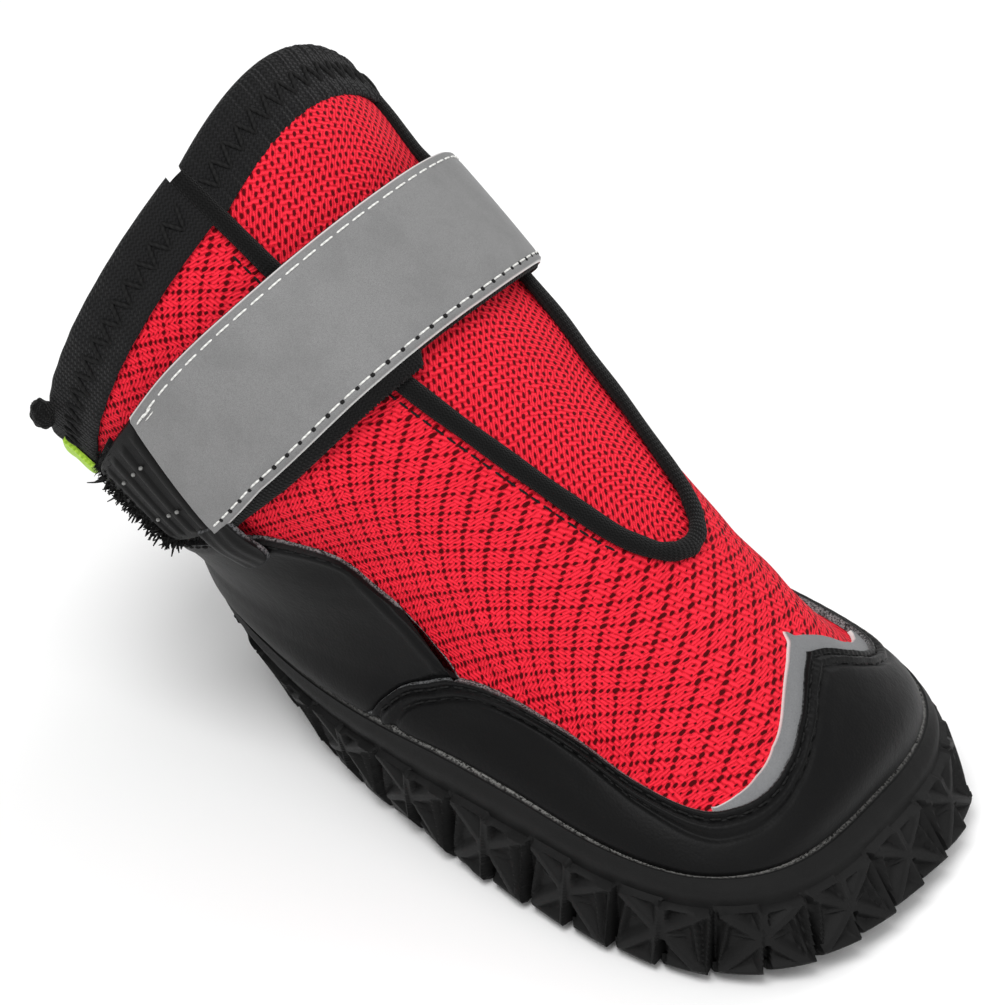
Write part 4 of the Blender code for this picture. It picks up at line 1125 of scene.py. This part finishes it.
def build_keeper():
    """Rounded webbing tab that shows below the strap's near end, with a pale rubbed edge."""
    around = np.linspace(90.0, 102.5, 110)
    middle = (around - around[0]) / (around[-1] - around[0]) * 2 - 1
    round_off = 1 - np.sqrt(np.clip(1 - np.abs(middle) ** 3.2, 0, 1))
    low = 0.602 + 0.03 * round_off - 0.0026 * (around - 96.0)
    turned, along, share = patch(around, low, np.full(around.shape, 0.70), 50)
    height = 2.7 + 0.45 * np.sin(share * np.pi) * (1 - middle**2) + 0.05 * np.sin(turned * 1.7)
    sheet_piece("strap_keeper_webbing", turned, along, 1.9, height, 0.55, KEEPER_WEBBING)


def tuft(around, along, height, lean_by, tall_from, tall_to, bend_by, count):
    """A fibre's path from its root on the cloth, leaning and bending at random."""
    lean = rng.normal(0, lean_by, 3)
    tall = rng.uniform(tall_from, tall_to)
    bend = rng.normal(0, bend_by, 3)
    steps = np.linspace(0, 1, count)[:, None]
    return skin(around, along, height) + (normal_at(around, along) + lean) * tall * steps + bend * steps**2


def loop_edges(side):
    """Lower and upper edge of the loop fastener."""
    low = counter_top(side) + along_of(LOOP_BASE, side, counter_top(side))
    return low, np.minimum(LOOP_TOP, QUARTER_RIM - along_of(LOOP_BELOW_RIM, side, QUARTER_RIM))


def build_loop_patch():
    """Loop fastener: a dark felt of small loops, with tufts standing out along its edges."""
    around = np.linspace(104, 256, 260)
    turned, along, _ = patch(around, *loop_edges(fold(around)), 60)
    face = 1.25 + rng.normal(0, 0.06, along.shape)
    slot = "loop_patch"
    sheet_piece("loop_patch_felt", turned, along, 0.1, face, 0.3, BLACK_WEBBING, (slot,))
    paths = []
    for _ in range(2600):
        a = rng.uniform(104.5, 255.5)
        t = rng.choice([rng.uniform(0, 0.08), rng.uniform(0.0, 1.0), rng.uniform(0.9, 1.0)])
        low, high = loop_edges(fold(a))
        paths.append(tuft(a, low + (high - low) * t, 1.1, 0.45, 0.35, 0.9, 0.15, 4))
    radii = [0.055 * np.array([1, 1, 0.9, 0.6])] * len(paths)
    threads("loop_patch_tufts", paths, radii, None, 3, BLACK_THREAD, "loop_patch", caps=False)
    # Longer loops pulled out beside the strap's moulded end, on both sides of the boot
    paths = []
    for k in range(700):
        a = rng.uniform(117, 127) * (1 if k % 4 else -1)
        root = rng.uniform(counter_top(fold(a)) + 0.006, 0.865)
        paths.append(tuft(a, root, 1.2, 0.35, 0.5, 1.3, 0.6, 6))
    radii = [0.15 * np.array([1, 1, 1.1, 1.1, 1.0, 0.6])] * len(paths)
    threads("loop_patch_pulled_loops", paths, radii, None, 4, BLACK_THREAD, "loop_patch")


def build_back():
    """The binding's bar-tacked end as a knob on the collar, and the plain lime ribbon below it."""
    centre = on_last(KNOB_TURN, QUARTER_RIM, 3.3)
    n = normal_at(KNOB_TURN, QUARTER_RIM)
    across, up = (way / np.linalg.norm(way) for way in slopes(KNOB_TURN, QUARTER_RIM))
    rows = 40
    columns = 64
    tilt = np.linspace(0, np.pi, rows)[:, None]
    spin = np.linspace(0, 2 * np.pi, columns, endpoint=False)[None, :]
    radius = 1.95 * (1 + 0.05 * np.sin(5 * spin + 3 * tilt) + 0.04 * np.sin(9 * tilt))
    p = centre + (
        across * (1.15 * radius * np.sin(tilt) * np.cos(spin))[..., None]
        + n * (0.9 * radius * np.sin(tilt) * np.sin(spin))[..., None]
        + up * (radius * np.cos(tilt) * np.ones_like(spin))[..., None]
    )
    quads = grid_quads(rows, columns, wrap=True)
    pts = p.reshape(-1, 3)
    q = quads[(rows // 2) * columns]
    if faces_inward(pts, q, pts[q[0]] - centre):
        quads = quads[:, ::-1]
    uv = np.stack(np.broadcast_arrays(spin * 2.0, tilt * 2.0), -1)
    make("back_tab_knob", pts, quads, BINDING_CORD, ("back_tab",), uv)
    around = np.linspace(KNOB_TURN + 11.0, KNOB_TURN + 27.0, 70)
    high = QUARTER_RIM - along_of(2.4, around, QUARTER_RIM)
    strap_edge = np.full(around.shape, STRAP_EDGES[-1, 2])
    turned, along, share = patch(around, strap_edge + along_of(0.9, around, strap_edge), high, 50)
    height = 1.95 + 0.06 * np.sin(share * 7)
    sheet_piece("back_tag_ribbon", turned, along, 1.3, height, 0.25, LIME, ("back_tag",), on_last)


# Sole


def ground(x):
    """Height of the tread: flat, raised a little at the arch, sprung at toe and heel."""
    heel_end = HEEL_TUCK + HEEL_SPRING_RUN
    toe_start = HEEL_TUCK + SOLE_LENGTH - TOE_SPRING_RUN
    heel = HEEL_SPRING * np.clip((heel_end - x) / HEEL_SPRING_RUN, 0, None) ** 1.8
    toe = TOE_SPRING * np.clip((x - toe_start) / TOE_SPRING_RUN, 0, None) ** 1.8
    middle = np.clip((x - heel_end - 0.08 * SOLE_LENGTH) / (0.16 * SOLE_LENGTH), 0, 1)
    return heel + toe + ARCH_HEIGHT * np.sin(np.pi * middle) ** 2


def tread_outline(around, share=1.0):
    lengthwise, sideways = egg(np.radians(around), 2.7, 2.0, 0.34)
    x = HEEL_TUCK + SOLE_LENGTH * (1 + share * lengthwise) / 2
    return x, -0.442 * SOLE_WIDTH * share * sideways


def seat_outline(around, outset=0.0):
    here = last_point(around, 0.0)
    run = last_point(around + 0.05, 0.0) - last_point(around - 0.05, 0.0)
    out = np.stack([-run[..., 1], run[..., 0]], -1)
    out /= np.linalg.norm(out, axis=-1, keepdims=True)
    return here[..., 0] + out[..., 0] * outset, here[..., 1] + out[..., 1] * outset, here[..., 2]


def lug_relief(s, d, kind):
    """Side face of the lugs, in mm below its ribs: triangular pits between ribs that meet in stars.

    "s" runs across the lug's pitch and "d" down its side, both from 0 to 1. A star lies at every
    second lug's edge, STAR_DEPTH of the way down, and its ribs run out level, upright and slanting."""
    run = s + kind % 2
    far = np.minimum(run, 2 - run)
    rays = (
        np.abs(d - STAR_DEPTH - 0.62 * far) * 0.85,
        np.abs(d - STAR_DEPTH + 0.50 * far) * 0.9,
        np.abs(d - STAR_DEPTH - 0.05 * np.sin(3 * kind)) + 0.25 * far,
        far * 0.9,
        np.abs(far - 0.62 - 0.25 * d) + 0.05,
    )
    rib = np.minimum.reduce(rays)
    border = np.minimum(np.abs(1 - far) + 0.02, np.minimum(d + 0.04, 1.02 - d))
    return PIT_DEPTH * np.clip((np.minimum(rib, border) - 0.05) / 0.11, 0, 1)


def groove_of(s):
    """1 in the groove between two lugs, 0 on a lug, with steep sides."""
    return step_up(s, LUG_SHARE, LUG_SHARE + 0.05) * (1 - step_up(s, 0.95, 1.0))


def build_sole():
    """Cup sole. Wall: lip, smooth band, then lugs whose faces carry ribs and pits, and the tread below."""
    count = LUG_COUNT * LUG_POINTS
    fine = np.linspace(0, 360, 7201)
    x, y = tread_outline(fine)
    run = np.concatenate([[0], np.cumsum(np.hypot(np.diff(x), np.diff(y)))])
    pitch = run[-1] / LUG_COUNT
    lug = np.linspace(0, LUG_COUNT, count, endpoint=False)
    around = np.interp(lug * pitch, run, fine)
    folded = (around + 180) % 360 - 180
    lip = lip_top(folded)
    lip_in = on_last(folded, lip, 0.25)
    lip_out = on_last(folded, lip, 1.6)
    foot_x, foot_y = tread_outline(around)
    heel_side = np.clip(-np.cos(np.radians(folded)), 0, 1) ** 0.5
    foot = np.stack([foot_x, foot_y, ground(foot_x) + TREAD_BEVEL + HEEL_BEVEL * heel_side], -1)
    ax, ay = tread_outline(around + 0.05)
    bx, by = tread_outline(around - 0.05)
    along_edge = np.stack([ax - bx, ay - by], -1)
    along_edge /= np.linalg.norm(along_edge, axis=1, keepdims=True)
    out = np.stack([-along_edge[:, 1], along_edge[:, 0]], -1)
    middle = HEEL_TUCK + SOLE_LENGTH / 2
    out *= np.sign(out[:, 0] * (foot_x - middle) + out[:, 1] * foot_y)[:, None]
    # How far the wall leans along the edge from foot to lip, so that the grooves can run straight down
    lean = np.einsum("ij,ij->i", lip_out[:, :2] - foot[:, :2], along_edge)
    rings = []
    marks = []

    def ring(points, mark=0.0):
        rings.append(points)
        marks.append(np.full(len(points), mark))

    cup_x, cup_y, cup_z = seat_outline(around, -2.4)
    ring(np.stack([cup_x, cup_y, cup_z - 5.0], -1))
    ring(np.stack([cup_x, cup_y, cup_z - 0.3], -1))
    ledge_x, ledge_y, ledge_z = seat_outline(around, 0.3)
    ring(np.stack([ledge_x, ledge_y, ledge_z - 0.3], -1))
    ring(lip_in, 0.3)
    for share, rise, mark in ((0.12, 0.14, 0.9), (0.32, 0.24, 1.0), (0.62, 0.2, 0.5), (0.92, 0.0, 0.0)):
        row = lip_in + (lip_out - lip_in) * share
        row[:, 2] += rise
        ring(row, mark)
    rows = 56
    for k in range(rows + 1):
        down = k / rows
        here = lug + lean * (1 - down) / pitch
        s = here - np.floor(here)
        kind = np.floor(here).astype(int) % LUG_COUNT
        groove = groove_of(s)
        start = 0.29 + 0.03 * (kind % 2)
        lugs = step_up(down, start, start + 0.035)
        d = np.clip((down - start) / (1 - start), 0, 1)
        smooth_band = 0.7 * bump(down, 0.15, 0.12)
        foot_bevel = 0.35 * step_up(down, 0.96, 1.0)
        proud = 1.5 - 0.75 * d + 0.9 * (0.5 - s) * d - lug_relief(s, d, kind) * (1 - groove)
        open_end = np.where(kind % 2 == 1, step_up(d, 0.55, 0.72), 1.0)
        push = smooth_band * (1 - lugs) + lugs * (proud - groove * open_end * (1.0 + 1.3 * d)) - foot_bevel
        row = lip_out + (foot - lip_out) * down
        row[:, :2] += out * push[:, None]
        ring(row)
    s = lug - np.floor(lug)
    groove = groove_of(s)
    # Each row: share of the outline, share of the groove's cut between the lugs and on them
    for share, in_groove, on_lug in (
        (0.975, 1.0, 0.0), (0.93, 1.0, 0.0), (0.86, 1.0, 0.0), (0.78, 1.0, 0.0), (0.71, 1.0, 0.0),
        (0.69, 1.0, 0.3), (0.67, 1.0, 1.0), (0.60, 1.0, 1.0), (0.55, 1.0, 1.0), (0.53, 0.3, 0.1),
        (0.51, 0.0, 0.0), (0.30, 0.0, 0.0), (0.05, 0.0, 0.0),
    ):
        x, y = tread_outline(around, share)
        cut = np.maximum(groove * in_groove, on_lug)
        lift = TREAD_BEVEL * 0.5 * step_up(share, 0.92, 1.0)
        ring(np.stack([x, y, ground(x) + cut * GROOVE_CUT + lift], -1))
    rings = np.array(rings)
    number, columns = rings.shape[:2]
    quads = grid_quads(number, columns, wrap=True)
    p = rings.reshape(-1, 3)
    q = quads[(number // 2) * columns]
    if faces_inward(p, q, (p[q[0]] - (middle, 0, 0)) * (1, 1, 0)):
        quads = quads[:, ::-1]
    marks = np.array(marks)
    wall = np.concatenate([[0], np.cumsum(np.linalg.norm(np.diff(rings.mean(1), axis=0), axis=1) + 0.3)])
    uv = np.stack(np.broadcast_arrays((lug * pitch)[None, :], wall[:, None]), -1)
    numbers = {"lip": marks}
    make("outsole_rubber", p, quads, SOLE_RUBBER, ("outsole",), uv, numbers, smooth_angle=28)


def dress(name, material):
    """A carried-over CAD node gets a material and a weave map in mm, by box projection."""
    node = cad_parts[name]
    mesh = node.data
    mesh.materials.clear()
    mesh.materials.append(material)
    co = np.empty(len(mesh.vertices) * 3)
    mesh.vertices.foreach_get("co", co)
    co = co.reshape(-1, 3) / MM
    index = np.empty(len(mesh.loops), np.int32)
    mesh.loops.foreach_get("vertex_index", index)
    layer = mesh.uv_layers.get("weave") or mesh.uv_layers.new(name="weave")
    layer.data.foreach_set("uv", co[index][:, :2].reshape(-1))


def build_lining():
    """Black lining over the inside of the upper, seen through the collar."""
    around = np.linspace(41, 319, 200)
    rows = 70
    share = np.linspace(0.03, 0.945, rows)[:, None]
    along = np.broadcast_to(share, (rows, len(around)))
    turned = np.broadcast_to(around, along.shape)
    height = -2.15 - 0.12 * np.sin(turned * 0.21 + along * 30)
    points = on_last(turned, along, height)
    back = on_last(turned, along, -2.05)
    p = np.concatenate([points.reshape(-1, 3), back.reshape(-1, 3)])
    quads = grid_quads(rows, len(around))
    quads = np.concatenate([quads[:, ::-1], quads + along.size])
    u, v = arc_map(turned, along)
    weave = np.stack([u, v], -1).reshape(-1, 2)
    make("upper_lining", p, quads, LINING, (), np.concatenate([weave, weave]))


def build_stage():
    """Pale floor, soft overhead and side light, and the camera of the photograph."""
    floor = bpy.data.meshes.new("floor")
    half = 3.0
    corners = [(-half, -half, 0), (half, -half, 0), (half, half, 0), (-half, half, 0)]
    floor.from_pydata(corners, [], [(0, 1, 2, 3)])
    material = bpy.data.materials.new("paper_backdrop_white")
    material.use_nodes = True
    shader = material.node_tree.nodes["Principled BSDF"]
    shader.inputs["Base Color"].default_value = linear("FDFDFD")
    shader.inputs["Roughness"].default_value = 0.9
    floor.materials.append(material)
    plane = bpy.data.objects.new("floor", floor)
    bpy.context.scene.collection.objects.link(plane)

    world = bpy.data.worlds.new("studio")
    bpy.context.scene.world = world
    world.use_nodes = True
    background = world.node_tree.nodes["Background"]
    background.inputs[0].default_value = linear("FFFFFF")
    background.inputs[1].default_value = 0.53
    for name, place, size, power in (
        ("key", (0.05, -0.48, 1.0), 0.6, 7.0),
        ("fill", (0.75, -0.25, 0.6), 0.8, 1.8),
        ("rim", (0.0, 0.8, 0.7), 0.6, 2.5),
    ):
        light = bpy.data.lights.new(name, "AREA")
        light.size = size
        light.energy = power
        lamp = bpy.data.objects.new(name, light)
        lamp.location = place
        direction = np.array([0, 0, 0.04]) - np.array(place)
        lamp.rotation_mode = "QUATERNION"
        lamp.rotation_quaternion = look(direction)
        bpy.context.scene.collection.objects.link(lamp)

    camera = bpy.data.cameras.new("camera")
    camera.sensor_width = 36.0
    camera.lens = CAMERA_LENS
    camera.shift_x, camera.shift_y = CAMERA_SHIFT
    camera.clip_start = 0.01
    seen = bpy.data.objects.new("camera", camera)
    turn = math.radians(CAMERA_TURN)
    lift = math.radians(CAMERA_LIFT)
    target = np.array(CAMERA_TARGET) * MM + SHIFT
    back = np.array([math.cos(lift) * math.cos(turn), -math.cos(lift) * math.sin(turn), math.sin(lift)])
    seen.location = target + back * CAMERA_DISTANCE
    seen.rotation_mode = "QUATERNION"
    seen.rotation_quaternion = look(-back)
    bpy.context.scene.collection.objects.link(seen)
    bpy.context.scene.camera = seen
    bpy.context.scene.view_settings.view_transform = "Standard"


def look(direction):
    return Vector(direction).to_track_quat("-Z", "Y")


build_upper()
build_tongue()
build_binding()
build_collar()
build_toe_cap()
build_counter()
build_trim()
build_strap()
build_tip()
build_keeper()
build_loop_patch()
build_back()
build_sole()
build_lining()
dress("insole", FOAM)
build_stage()
